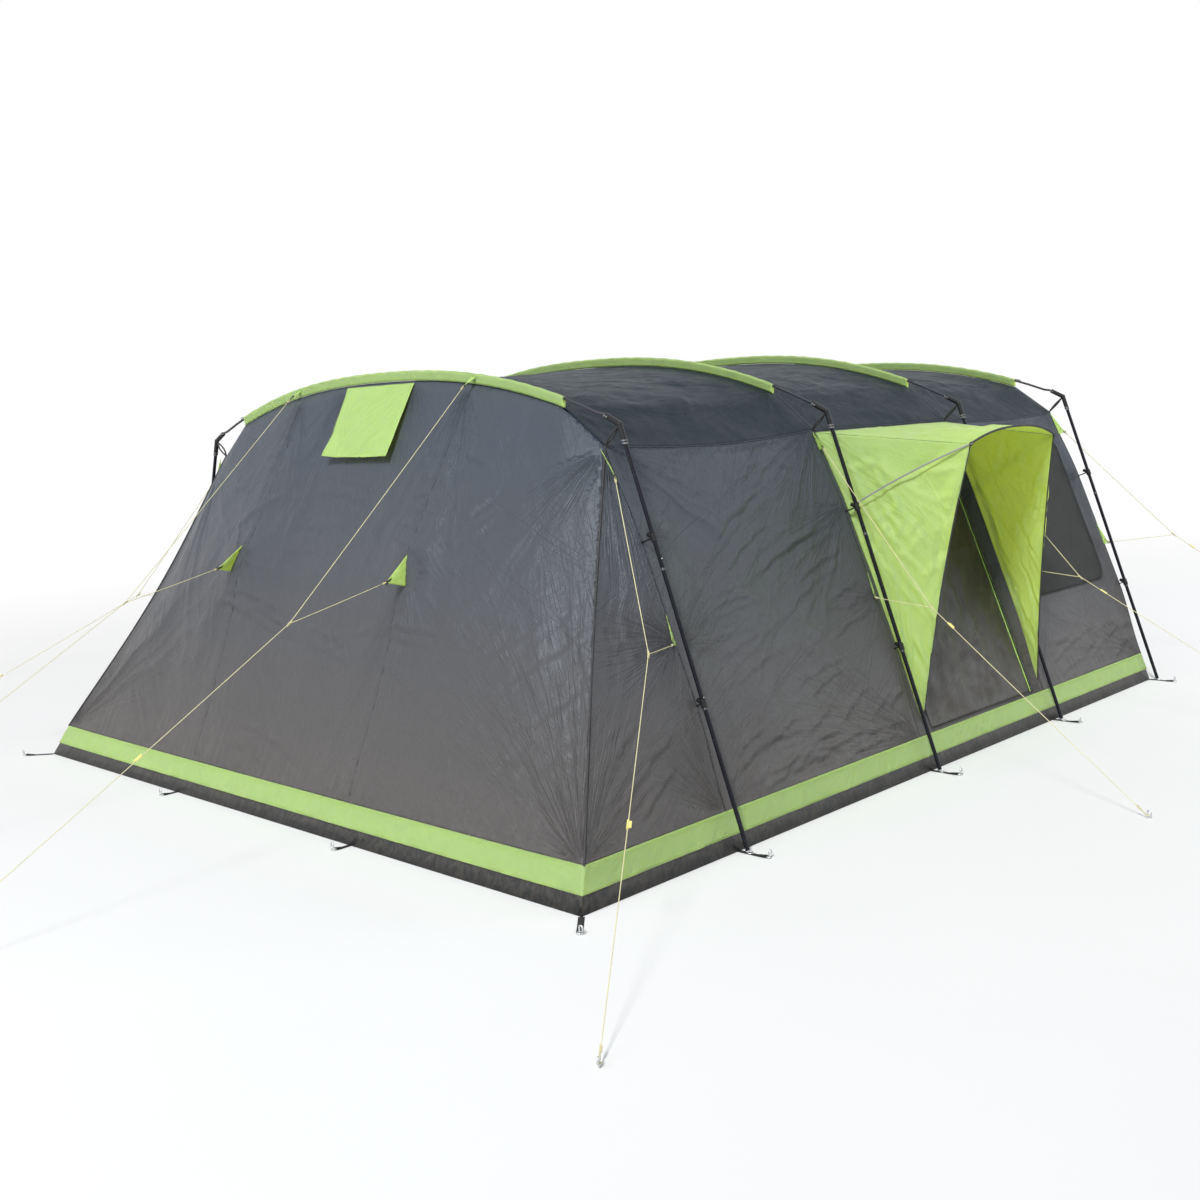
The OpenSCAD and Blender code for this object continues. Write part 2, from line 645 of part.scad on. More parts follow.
module pole_clips() color(black) both_sides() for (x = arch_x, z = clip_z) {
    y = foot_y - z * tan(leg_tilt);
    along([x, -y, z], leg_arm) difference() {
        union() {
            cylinder(h = 22, d = leg_d + 8, center = true);
            translate([0, -6, -3]) cube([(y - wall_at(z)) * cos(wall_lean) - 2 * gap, 12, 6]);
        }
        cylinder(h = 26, d = leg_d + 2 * gap, center = true);
    }
}

// Ties from the inside of the elbows to the shoulder seam
module elbow_ties() color(black) both_sides() for (x = arch_x)
    rod([x, -elbow_y, elbow_z] + unit([0, 1, -1]) * elbow_d * 0.64,
        [x, -shoulder_y - gap, shoulder_z + gap] + unit([0, -1, 1]) * 0.6, 6);

// ---- Ground straps and pegs ----

loop_y = [-750, 750];    // places of the straps along the two ends
loop_reach = 80;        // how far the pegs stand out from the slanted end

corner_peg = [end_x - corner_reach, -wall_foot_y - 108];

module ground_straps() color(black) {
    for (y = loop_y) {
        strap([end_x + tray_in - gap, y], [end_x - loop_reach, y]);
        strap([arch_x[3] - tray_in + gap, y], [arch_x[3] + front_reach, y]);
    }
    both_sides() strap([end_x + tray_in - gap, tray_in - wall_foot_y - gap], corner_peg);
}

module ground_pegs() color("silver") {
    both_sides() for (x = arch_x) peg([x, -foot_y - foot_peg_reach], x < 0 ? 0 : 180);
    for (y = loop_y) {
        peg([end_x - loop_reach, y], 90);
        peg([arch_x[3] + front_reach, y], 90);
    }
    both_sides() peg(corner_peg, -90);
}

// ---- Sleeping cabin ----

cabin_front = arch_x[1] - 100;
cabin_top_y = cloth_y(cabin_h + hanger_l);      // half width of the cabin at its ceiling

module cabin_block(in) {
    x1 = cabin_front - in;
    polyhedron([
        [cabin_front - cabin_l + in, -cabin_y + in, sheet_t + gap + in],
        [x1, -cabin_y + in, sheet_t + gap + in], [x1, cabin_y - in, sheet_t + gap + in],
        [cabin_front - cabin_l + in, cabin_y - in, sheet_t + gap + in],
        [cabin_front - cabin_top_l + in, -cabin_top_y + in, cabin_h - in],
        [x1, -cabin_top_y + in, cabin_h - in], [x1, cabin_top_y - in, cabin_h - in],
        [cabin_front - cabin_top_l + in, cabin_top_y - in, cabin_h - in]],
        [[0, 1, 2, 3], [7, 6, 5, 4], [0, 4, 5, 1], [1, 5, 6, 2], [2, 6, 7, 3], [3, 7, 4, 0]]);
}

cabin_sill = 150;

module inner_cabin() color("#c9c6bd") difference() {
    cabin_block(0);
    cabin_block(cabin_t);
    translate([cabin_front - 2 * cabin_t, -cabin_door_w / 2, cabin_sill])
        cube([3 * cabin_t, cabin_door_w, cabin_door_h]);
}

module cabin_door() color("#b5b3ac")
    translate([cabin_front - cabin_t, -cabin_door_w / 2 + gap, cabin_sill + gap])
        cube([cabin_t, cabin_door_w - 2 * gap, cabin_door_h - 2 * gap]);

module cabin_hangers() color(black) both_sides()
    for (x = [cabin_front - 12, cabin_front - cabin_top_l / 2, cabin_front - cabin_top_l + 40]) {
        y = cabin_top_y - 20;
        u = (x - arch_x[0]) / bay_1;
        translate([x, -y, cabin_h + gap])
            cylinder(h = roof_z(0, u, y) - cloth_t * 1.4 - 5 - cabin_h, d = 6);
    }

roof_pole(0);  // roof_pole_1
roof_pole(1);  // roof_pole_2
roof_pole(2);  // roof_pole_3
roof_pole(3);  // roof_pole_4
pole_elbows();
legs(0);  // legs_1
legs(1);  // legs_2
legs(2);  // legs_3
legs(3);  // legs_4
foot_pins();
foot_straps();
roof_panel(0);  // roof_panel_1
roof_panel(1);  // roof_panel_2
roof_panel(2);  // roof_panel_3
pole_sleeves();
side_wall();
door_wall();
window_wall();
far_wall();
end_wall();
gussets();
front_wall();
hem_band();
groundsheet();
porch_top();
porch_cheeks();
porch_bow();
side_door();
door_edge();
zip_slider();
window_panes();
vent_hood();
vent_mesh();
vent_stay();
guy_patches();
guy_rings();
pole_clips();
elbow_ties();
ground_straps();
ground_pegs();
inner_cabin();
cabin_door();
cabin_hangers();
guy_line(0);  // guy_line_1
guy_line(1);  // guy_line_2
guy_line(2);  // guy_line_3
guy_line(3);  // guy_line_4
guy_line(4);  // guy_line_5
guy_line(5);  // guy_line_6
guy_line(6);  // guy_line_7
guy_runner(0);  // guy_runner_1
guy_runner(1);  // guy_runner_2
guy_runner(2);  // guy_runner_3
guy_runner(3);  // guy_runner_4
guy_runner(4);  // guy_runner_5
guy_runner(5);  // guy_runner_6
guy_runner(6);  // guy_runner_7
guy_pegs();
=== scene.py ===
from functools import partial
from math import atan2, cos, hypot, pi, radians, sin, sqrt, tan

import bpy
import numpy as np
from bpy.props import FloatProperty, FloatVectorProperty, IntProperty, PointerProperty
from mathutils import Matrix, Vector
from mathutils.geometry import delaunay_2d_cdt


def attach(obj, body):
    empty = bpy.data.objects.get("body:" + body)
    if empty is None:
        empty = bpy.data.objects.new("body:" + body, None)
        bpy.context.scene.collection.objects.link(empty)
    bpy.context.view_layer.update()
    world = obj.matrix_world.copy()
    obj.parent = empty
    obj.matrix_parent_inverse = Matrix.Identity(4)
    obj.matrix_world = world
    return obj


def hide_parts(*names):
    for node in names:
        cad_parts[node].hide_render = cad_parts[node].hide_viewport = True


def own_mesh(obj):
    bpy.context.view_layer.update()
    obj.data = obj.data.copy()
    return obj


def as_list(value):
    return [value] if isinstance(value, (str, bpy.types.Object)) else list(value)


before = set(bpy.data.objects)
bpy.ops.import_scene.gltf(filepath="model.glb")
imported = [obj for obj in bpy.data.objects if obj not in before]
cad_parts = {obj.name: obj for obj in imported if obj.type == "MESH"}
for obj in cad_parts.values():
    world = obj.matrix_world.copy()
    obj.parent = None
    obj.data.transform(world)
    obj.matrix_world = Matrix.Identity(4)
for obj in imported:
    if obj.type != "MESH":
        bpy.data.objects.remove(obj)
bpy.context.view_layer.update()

bl_info = {
    "name": "Tent on poles",
    "version": (1, 0, 0),
    "blender": (4, 5, 0),
    "location": "3D View > Sidebar > Tent",
    "description": "Finishes a tunnel tent on four pole arches: cloth, poles, guy lines and stage",
    "category": "Object",
}

# ---- The tent's own measures, in metres, as in its source ----

ARCH_X = (-1.56, -0.06, 1.22, 2.5)
APEX = (2.05, 2.1, 2.1, 2.04)
ELBOW_Y, ELBOW_Z = 1.62, 1.755
FOOT_Y = 2.225
WALL_Y = 2.18
SHOULDER_Y, SHOULDER_Z = 1.53, 1.665
END_X, OVERHANG = -2.48, 0.92
SLEEVE_Y, SLEEVE_DROP = 1.3, 0.041
ROOF_SAG = 0.02
LEAN = atan2(WALL_Y - SHOULDER_Y, SHOULDER_Z)
WALL_L = hypot(WALL_Y - SHOULDER_Y, SHOULDER_Z)
LEG_TILT = atan2(FOOT_Y - ELBOW_Y, ELBOW_Z)
BAND_LOW, BAND_TOP = 0.07, 0.17
END_SEAM = BAND_TOP * cos(LEAN)
BAY = [ARCH_X[i + 1] - ARCH_X[i] for i in range(3)]
SEAM_SAG = (0.035, 0.004, 0.03)  # dip of each bay's shoulder seam along the wall
DOOR = (0.06, 1.1, 0.19, 1.59, 0.12)  # sides, sill, top and corner radius of the doorway
ZIP_X = 1.0737
EDGE_X = ZIP_X - 0.0006  # side of the door's cloth that is zipped
CLIP_Z = (1.28, 0.6)  # heights of the clips on the legs
WINDOW = (1.31, 2.41, 0.68, 1.61, 0.09)
VENT = (0.2, 1.705, 1.935)  # half width, lower and upper edge
PULL = (0.713, 1.112)  # where the guy lines pull the slanted wall out
PANEL_SEAM_Y = 0.67  # seams down the two end walls
CLIP_DRAW = 0.03  # how far the clips draw a wall out, and how wide beside an arch
NARROW, WIDE = 0.085, 0.34
PORCH_Z = SHOULDER_Z - 0.012  # where the porch meets the wall, its ends there, and its sag
PORCH_X = (-0.046, 1.206)
PORCH_SAG = 0.018
CHEEK_LOW = ((0.0, 1.19), 0.215)  # lower points of the porch's cheeks: x of each, and height
HINGE = (-1.570411, 0, 1.995)  # the vent hood's hinge
CABIN = (-0.16, 2.08, 1.3794, 1.65, 0.0023)  # front, half widths below and above, top and floor
CABIN_BACK = (-2.36, -1.50)  # back of the sleeping cabin, below and above
CABIN_DOOR = (0.36, 0.15, 1.49)  # half width, sill and top

# Guy lines: upper point, joint, end at the peg, lower point
NEAR_LINES = [
    ((-1.595, -1.611, 1.535), (-1.92, -2.055, 0.87), (-3.26, -3.03, 0.014), (-1.595, -1.895, 0.84)),
    ((-0.095, -1.613, 1.58), (-0.11, -2.22, 0.815), (-0.23, -3.3, 0.014), (-0.095, -1.895, 0.84)),
    ((1.255, -1.613, 1.58), (1.24, -2.32, 0.8), (1.54, -3.5, 0.014), (1.255, -1.895, 0.84)),
    ((2.535, -1.611, 1.535), (2.99, -2.12, 0.85), (3.74, -3.0, 0.014), (2.535, -1.895, 0.84)),
]
END_LINE = ((-1.632, -0.714, 1.96), (-2.665, -0.72, 1.005), (-4.4, -0.75, 0.014), (-2.15, -0.713, 1.112))


def far(line):
    return [(x, -y, z) for x, y, z in line]


GUYS = [*NEAR_LINES, far(NEAR_LINES[0]), END_LINE, far(END_LINE)]
GUY_D = 0.0035


def vec(*v):
    return np.array(v, float)


def unit(v):
    v = np.asarray(v, float)
    return v / np.maximum(np.linalg.norm(v, axis=-1, keepdims=True), 1e-12)


def lerp(a, b, t):
    return a + (b - a) * t


def smooth(t):
    t = np.clip(t, 0, 1)
    return t * t * (3 - 2 * t)


def ends(t, width):
    """Nought where t is 0 or 1, and one from width inwards."""
    return smooth(np.minimum(t, 1 - t) / width)


def hump(t):
    return 4 * t * (1 - t)


def column(n, start=0, stop=1):
    return np.linspace(start, stop, n)[:, None]


def stack(x, y, z):
    return np.stack(np.broadcast_arrays(x, y, z), axis=-1).astype(float)


def travel(path):
    """Way along a path to each of its points."""
    return np.concatenate([[0], np.cumsum(np.linalg.norm(np.diff(path, axis=0), axis=1))])


def pole_z(y, top):
    return ELBOW_Z + (top - ELBOW_Z) * (1 - (np.abs(y) / ELBOW_Y) ** 2.35)


def cloth_z(y, top):
    edge = pole_z(SLEEVE_Y, top) - SLEEVE_DROP
    share = (np.abs(y) - SLEEVE_Y) / (SHOULDER_Y - SLEEVE_Y)
    return np.where(np.abs(y) <= SLEEVE_Y, pole_z(y, top) - SLEEVE_DROP, lerp(edge, SHOULDER_Z, share))


def wall_y(z):
    """Half of the width between the side walls at height z."""
    return WALL_Y - z * tan(LEAN)


def on_wall(x, s, side=-1, out=0.0):
    """Point of a side wall at x, s up the wall, off its face by out."""
    y = WALL_Y - s * sin(LEAN) + out * cos(LEAN)
    return stack(x, side * y, s * cos(LEAN) + out * sin(LEAN))


def corner_x(s):
    """Place on the corner seam between the side wall and the slanted wall, s up the wall."""
    return END_X + OVERHANG * s / WALL_L


def arch_pull(x, s):
    """How far the clips draw the wall out towards the legs, at x and s up the wall."""
    x, s = np.broadcast_arrays(np.asarray(x, float), np.asarray(s, float))
    near = np.zeros(x.shape)
    before = (np.maximum(ARCH_X[0] - corner_x(s), 1e-3), WIDE, NARROW, NARROW)
    for a, left, right in zip(ARCH_X, before, (WIDE, NARROW, NARROW, NARROW)):
        near = np.maximum(near, smooth(1 - np.abs(x - a) / np.where(x < a, left, right)))
    return CLIP_DRAW * smooth((s - BAND_TOP) / 0.45) * smooth((WALL_L - s) / 0.45) * near


def drawn_out(side, x, s):
    """The way and distance that the clips draw a side wall."""
    return vec(0, side * cos(LEAN), sin(LEAN)) * arch_pull(x, s)[..., None]


def corner_shift(co, gusset=False):
    """Hollow of the two corner seams: how far a point of the walls beside them is drawn inwards."""
    x, y, z = np.moveaxis(co, -1, 0)
    s = z / cos(LEAN)
    from_seam = np.hypot(x - corner_x(s), np.abs(y) - wall_y(z))
    reach = np.maximum(ARCH_X[0] - corner_x(s), 1e-3) if gusset else 0.5
    bow = np.sin(pi * np.clip((s - BAND_TOP) / (WALL_L - BAND_TOP), 0, 1)) ** 1.2
    deep = 0.058 * bow * smooth(1 - from_seam / reach)
    return stack(deep * 0.6, -np.sign(y) * deep * 0.8, 0)


def end_x(y, z):
    """Where the slanted wall is at y and height z."""
    k = np.clip(y / 1.9, -1, 1)
    for _ in range(12):
        top = cloth_z(k * SHOULDER_Y, APEX[0])
        k = np.clip(y / (WALL_Y + (SHOULDER_Y - WALL_Y) * z / top), -1, 1)
    return END_X + (OVERHANG - 0.0003) * z / cloth_z(k * SHOULDER_Y, APEX[0])


# ---- Folds: heights over a panel, from places p in metres on it ----


def waves(p, size, seed, n=6):
    """Soft uneven swells of about one unit, size across."""
    rng = np.random.default_rng(seed)
    out = np.zeros(p.shape[:-1])
    for _ in range(n):
        d = unit(rng.normal(size=p.shape[-1]))
        out += np.sin(p @ d * 2 * pi / (size * rng.uniform(0.6, 1.7)) + rng.uniform(0, 6.28))
    return out / sqrt(n)


def polar(p, at, aim):
    """Distance of p from a point, and its angle from the way of aim."""
    d = p - np.array(at)
    return np.linalg.norm(d, axis=-1), (np.arctan2(d[..., 1], d[..., 0]) - aim + pi) % (2 * pi) - pi


def fan(p, at, aim, spread, reach, count, seed=0):
    """Tension folds that run out from a point: aim and spread are angles, reach is their length."""
    r, a = polar(p, at, aim)
    side = np.clip(1 - (a / spread) ** 2, 0, 1)
    rng = np.random.default_rng(seed + 31)
    a = a + 0.10 * np.sin(a * 9 + rng.uniform(0, 6)) + 0.03 * np.sin(r / reach * 7 + rng.uniform(0, 6))
    crests = (0.5 + 0.5 * np.cos(a * count + rng.uniform(0, 6))) ** 3.5
    crests = crests + 0.5 * (0.5 + 0.5 * np.cos(a * count * 2.3 + rng.uniform(0, 6))) ** 4
    return side * crests * (r / reach) * np.exp(1 - r / reach) * smooth(r / 0.05)


def fans(p, pulls, seed=0, step=1):
    """Heights of several sets of tension folds: each is (at, aim, spread, reach, count, strength)."""
    return sum(e[5] * fan(p, *e[:5], seed + k * step) for k, e in enumerate(pulls))


def fold_map(p, pulls):
    """Where each point lies on its nearest set of folds: across, along, and how much they show."""
    best, second, across, along = np.zeros((4, *p.shape[:-1]))
    for k, (at, aim, spread, reach, _, strength) in enumerate(pulls):
        r, a = polar(p, at, aim)
        show = np.clip(1 - (a / spread / 1.25) ** 2, 0, 1) * np.exp(-0.7 * r / reach)
        show = show * smooth(r / 0.1) * min(1.0, strength)
        wins = show > best
        second = np.where(wins, best, np.maximum(second, show))
        across, along = np.where(wins, a + 3.7 * k, across), np.where(wins, r, along)
        best = np.maximum(best, show)
    return stack(across, along, best * smooth((best - second) / (0.3 * best + 1e-6)))


def ridge(d, width):
    """Raised line where the distance d is nought."""
    return np.exp(-((d / width) ** 2))


def creased(p, lines):
    """Single creases: each is (start, end, depth in mm, width in mm), raised with a hollow beside it."""
    out = np.zeros(p.shape[:-1])
    for x0, y0, x1, y1, deep, wide in lines:
        run = np.array([x1 - x0, y1 - y0])
        long = hypot(*run)
        d = p - np.array([x0, y0])
        t = d @ run / long / long
        near = (t > -0.05) & (t < 1.05)
        d, t = d[near], t[near]
        bow = 0.05 * long * np.sin(pi * t) + 0.004 * np.sin(23 * t + 40 * x0)
        n = d @ (np.array([-run[1], run[0]]) / long) - bow
        w = wide / 1000 * (0.75 + 0.5 * np.sin(pi * t))
        shape = ridge(n, w) - 0.7 * ridge(n + 1.9 * w, 1.2 * w)
        out[near] += deep / 1000 * shape * smooth(t / 0.3) * smooth((1 - t) / 0.3)
    return out


def strewn(seed, count, box, turn, jitter, long, deep, wide):
    """Creases strewn over a box (x0, y0, x1, y1), that run at about the angle turn."""
    rng = np.random.default_rng(seed)
    at = rng.uniform(box[:2], box[2:], (count, 2))
    a = turn + rng.normal(0, jitter, count)
    half = rng.uniform(*long, count) / 2
    way = np.stack([np.cos(a), np.sin(a)], -1) * half[:, None]
    size = [rng.uniform(*deep, (count, 1)), rng.uniform(*wide, (count, 1))]
    return np.concatenate([at - way, at + way, *size], 1)


def bundles(rows, wide=12):
    """Creases side by side: each row is a place, angle, length, count, distance apart and depth."""
    out = []
    for x, y, turn, long, count, gap, deep in rows:
        along, across = vec(cos(turn), sin(turn)), vec(-sin(turn), cos(turn))
        for k in range(count):
            at = (x, y) + (k - (count - 1) / 2) * gap * across + 0.12 * long * sin(2.4 * k + x * 5) * along
            a = turn + 0.05 * sin(3.1 * k + x * 9)
            way = long / 2 * (0.8 + 0.2 * cos(1.7 * k + y * 7)) * vec(cos(a), sin(a))
            out.append((*(at - way), *(at + way), deep * (0.75 + 0.25 * sin(2.9 * k + y * 4)), wide))
    return out


# The long creases of the near wall, the gussets and the slanted wall: rows for bundles
SIDE_CREASES = [
    (-0.80, 1.30, 0.42, 0.85, 4, 0.07, 4), (-0.55, 1.65, 0.50, 0.50, 3, 0.06, 3.5),
    (-1.05, 1.02, 0.08, 0.55, 3, 0.045, 5), (-0.42, 1.12, 0.31, 0.80, 4, 0.07, 7),
    (-0.22, 0.88, 0.30, 0.55, 3, 0.08, 6), (-0.60, 0.58, 0.22, 0.60, 2, 0.05, 7),
    (-0.95, 0.24, 0.10, 0.80, 4, 0.022, 8), (-0.42, 0.23, 0.05, 0.75, 4, 0.022, 9),
    (-1.10, 0.75, 0.25, 0.50, 2, 0.12, 4),
]
GUSSET_CREASES = [
    (-1.98, 0.36, 0.50, 0.60, 4, 0.045, 9), (-2.05, 0.55, 0.55, 0.45, 2, 0.06, 6),
    (-1.82, 0.95, 0.65, 0.45, 3, 0.09, 4),
]
END_CREASES = [
    (0.40, 0.86, 0.24, 0.85, 3, 0.05, 13), (-0.22, 0.78, 0.30, 0.45, 3, 0.035, 10),
    (0.10, 0.26, 0.20, 0.90, 3, 0.05, 8), (-0.65, 0.84, 0.0, 0.75, 2, 0.04, 7),
    (-1.05, 1.38, -0.75, 0.30, 2, 0.10, 6), (-1.60, 0.19, 0.05, 0.50, 2, 0.03, 6),
    (0.0, 1.50, 0.12, 0.80, 3, 0.06, 7), (-0.60, 1.35, 0.20, 0.35, 4, 0.07, 6),
    (-1.68, 0.62, 0.78, 0.75, 5, 0.11, 5),
]


def puckers(p, a, b, reach, pitch, seed=0):
    """Short folds that stand off a seam from a to b."""
    a, b = np.array(a, float), np.array(b, float)
    along = unit(b - a)
    d = p - a
    t = d @ along
    n = np.abs(d[..., 0] * along[1] - d[..., 1] * along[0])
    rng = np.random.default_rng(seed + 77)
    wob = t + 0.35 * pitch * np.sin(t / pitch * 1.7 + rng.uniform(0, 6)) + 0.15 * n
    fold = np.sin(2 * pi * wob / pitch) * (0.6 + 0.4 * np.sin(t / pitch * 0.9 + rng.uniform(0, 6)))
    return fold * np.exp(-n / reach) * smooth(t / pitch) * smooth((np.linalg.norm(b - a) - t) / pitch)


# ---- Panels: each is (points, faces, places on the cloth in metres, cut area, places on the folds) ----


def area_of(co, tris):
    a, b, c = (co[tris[:, k]] for k in range(3))
    return np.linalg.norm(np.cross(b - a, c - a), axis=-1).sum() / 2


def faces_away(normal, out):
    return np.sum(normal.reshape(-1, 3).mean(0) * np.array(out)) < 0


def grid(place, nu, nv, out, lift=None, pulls=()):
    """Panel over u and v from 0 to 1, raised by lift(p, u, v) towards the side of out."""
    u, v = np.meshgrid(np.linspace(0, 1, nu + 1), np.linspace(0, 1, nv + 1), indexing="ij")
    co = place(u, v)
    normal = unit(np.cross(*np.gradient(co, axis=(0, 1))))
    across = np.linalg.norm(np.diff(co, axis=0), axis=-1).sum(0).max()
    tall = np.linalg.norm(np.diff(co, axis=1), axis=-1).sum(1).max()
    p = np.stack([u * across, v * tall], -1)
    n = np.arange(u.size).reshape(u.shape)
    quads = np.stack([n[:-1, :-1], n[1:, :-1], n[1:, 1:], n[:-1, 1:]], -1).reshape(-1, 4)
    if faces_away(normal, out):
        normal, quads = -normal, quads[:, ::-1]
    flat = co.reshape(-1, 3)
    area = area_of(flat, quads[:, :3]) + area_of(flat, quads[:, (0, 2, 3)])
    if lift is not None:
        co = co + normal * lift(p, u, v)[..., None]
    p = p.reshape(-1, 2)
    return co.reshape(-1, 3), quads.tolist(), p, (across, tall, area), fold_map(p, pulls)


def inside(p, loop):
    x, y = p[:, 0][:, None], p[:, 1][:, None]
    a, b = loop, np.roll(loop, -1, axis=0)
    cross = (a[:, 1] > y) != (b[:, 1] > y)
    with np.errstate(divide="ignore", invalid="ignore"):
        hit = x < (b[:, 0] - a[:, 0]) * (y - a[:, 1]) / (b[:, 1] - a[:, 1]) + a[:, 0]
    return (cross & hit).sum(1) % 2 == 1


def to_edge(p, loops):
    """Distance from each point to the nearest edge of the loops."""
    best = np.full(len(p), 9.0)
    for loop in loops:
        for a, b in zip(loop, np.roll(loop, -1, axis=0)):
            d = b - a
            t = np.clip((p - a) @ d / max(d @ d, 1e-12), 0, 1)
            best = np.minimum(best, np.linalg.norm(p - a - t[:, None] * d, axis=1))
    return best


def divide(loop, step):
    loop = np.asarray(loop, float)
    out = []
    for a, b in zip(loop, np.roll(loop, -1, axis=0)):
        n = max(1, int(round(np.linalg.norm(b - a) / step)))
        out += [a + (b - a) * k / n for k in range(n)]
    return np.array(out)


def surface(place, p):
    """Points of a surface at places p, and the way it faces there."""
    e, co = 1e-4, place(p)
    return co, unit(np.cross(place(p + [e, 0]) - co, place(p + [0, e]) - co))


def cut(outline, holes, step, place, out, lift=None, lines=(), pulls=(), rim=None):
    """Panel inside an outline, with openings, laid by place(p); lines are kept as folds."""
    loops = [divide(l, step * 1.2) for l in [outline, *holes]]

    def within(q):
        return inside(q, loops[0]) & ~np.any([inside(q, l) for l in loops[1:]], axis=0)

    lo, hi = loops[0].min(0), loops[0].max(0)
    rng = np.random.default_rng(len(loops[0]))
    gx, gy = np.meshgrid(np.arange(lo[0], hi[0], step), np.arange(lo[1], hi[1], step * 0.87))
    gx = gx + (np.arange(gx.shape[0]) % 2)[:, None] * step / 2
    p = np.stack([gx.ravel(), gy.ravel()], -1) + rng.uniform(-0.12, 0.12, (gx.size, 2)) * step
    keep = within(p) & (to_edge(p, loops) > step * 0.55)
    rows = [divide(np.array(line), step)[: int(round(np.linalg.norm(np.subtract(*line)) / step)) + 1]
            for line in lines]
    for r in rows:
        keep &= to_edge(p, [r[[0, -1]]]) > step * 0.5
    verts, edges = [], []
    for chain, links in [(l, len(l)) for l in loops] + [(r, len(r) - 1) for r in rows]:
        n = len(verts)
        verts += [Vector(q) for q in chain]
        edges += [(n + i, n + (i + 1) % len(chain)) for i in range(links)]
    verts += [Vector(q) for q in p[keep]]
    got, _, tris, *_ = delaunay_2d_cdt(verts, edges, [], 0, 1e-5)
    p, tris = np.array(got, float), np.array(tris)
    tris = tris[within(p[tris].mean(1))]
    used = np.unique(tris)
    tris, p = np.searchsorted(used, tris), p[used]
    co, normal = surface(place, p)
    area = area_of(co, tris)
    a, b = p[tris[:, 1]] - p[tris[:, 0]], p[tris[:, 2]] - p[tris[:, 0]]
    turned = a[:, 0] * b[:, 1] - a[:, 1] * b[:, 0] < 0
    tris[turned] = tris[turned][:, ::-1]
    if faces_away(normal, out):
        normal, tris = -normal, tris[:, ::-1]
    if lift is not None:
        co = co + normal * (lift(p) * smooth(to_edge(p, loops) / 0.05))[:, None]
    if rim is not None:
        co = co + rim(p, co)
    return co, tris.tolist(), p, (*(p.max(0) - p.min(0)), area), fold_map(p, pulls)


def rounded(x0, x1, y0, y1, r, low=True):
    """Outline of a rectangle with round upper corners, and round lower ones if low."""
    def arc(cx, cy, a):
        return [(cx + r * cos(a + k * pi / 16), cy + r * sin(a + k * pi / 16)) for k in range(9)]

    bottom = arc(x0 + r, y0 + r, pi) + arc(x1 - r, y0 + r, 1.5 * pi) if low else [(x0, y0), (x1, y0)]
    return np.array(bottom + arc(x1 - r, y1 - r, 0) + arc(x0 + r, y1 - r, 0.5 * pi))


def opening(x0, x1, y0, y1, r, low=True, by=0.0):
    """Outline of an opening made smaller by a margin, or larger if it is less than nought."""
    return rounded(x0 + by, x1 - by, y0 + by, y1 - by, r, low)


def add_mesh(name, parts):
    verts, uv = (np.concatenate([part[k] for part in parts]) for k in (0, 2))
    faces, n = [], 0
    for part in parts:
        faces += [[n + i for i in f] for f in part[1]]
        n += len(part[0])
    mesh = bpy.data.meshes.new(name)
    mesh.from_pydata(verts.tolist(), [], faces)
    mesh.update()
    mesh.shade_smooth()
    loops = np.empty(len(mesh.loops), np.int32)
    mesh.loops.foreach_get("vertex_index", loops)
    mesh.uv_layers.new(name="UVMap").data.foreach_set("uv", uv[loops].astype(np.float32).ravel())
    if len(parts[0]) > 4:
        folds = np.concatenate([part[4] for part in parts]).astype(np.float32)
        mesh.attributes.new("Fold", "FLOAT_VECTOR", "POINT").data.foreach_set("vector", folds.ravel())
    return add_object(name, mesh)


def add_object(name, data):
    obj = bpy.data.objects.new(name, data)
    bpy.context.scene.collection.objects.link(obj)
    return obj


def settle(obj):
    """Applies an object's modifiers and leaves a plain mesh."""
    bpy.context.view_layer.update()
    deps = bpy.context.evaluated_depsgraph_get()
    mesh = bpy.data.meshes.new_from_object(obj.evaluated_get(deps), preserve_all_data_layers=True,
                                           depsgraph=deps)
    if obj.type == "MESH":
        obj.modifiers.clear()
        obj.data = mesh
        return obj
    name = obj.name
    bpy.data.objects.remove(obj)
    return add_object(name, mesh)


def sew(name, node, parts, look, on, body="tent", thick=0.0012, whole=False):
    """Makes panels into one sheet of cloth that stands for a node."""
    obj = add_mesh(name, parts)
    mod = obj.modifiers.new("Cloth", "SOLIDIFY")
    mod.thickness, mod.offset = thick, -1
    obj.data.materials.append(finish(look))
    if whole:
        settle(obj)
    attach(obj, body)
    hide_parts(node)
    sizes = [part[3] for part in parts]
    wide, long, area = max(s[0] for s in sizes), sum(s[1] for s in sizes), sum(s[2] for s in sizes)
    if area > wide * long:
        long = area / wide * 1.0001
    wide = min(wide, area / long / 0.301)
    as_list(on)
    return obj


def sides_of(n, m, closed=False):
    """Faces between n rings of m points, round to the first ring again if closed."""
    pairs = [(i * m, (i + 1) % n * m) for i in range(n if closed else n - 1)]
    return [[i + k, i + (k + 1) % m, j + (k + 1) % m, j + k] for i, j in pairs for k in range(m)]


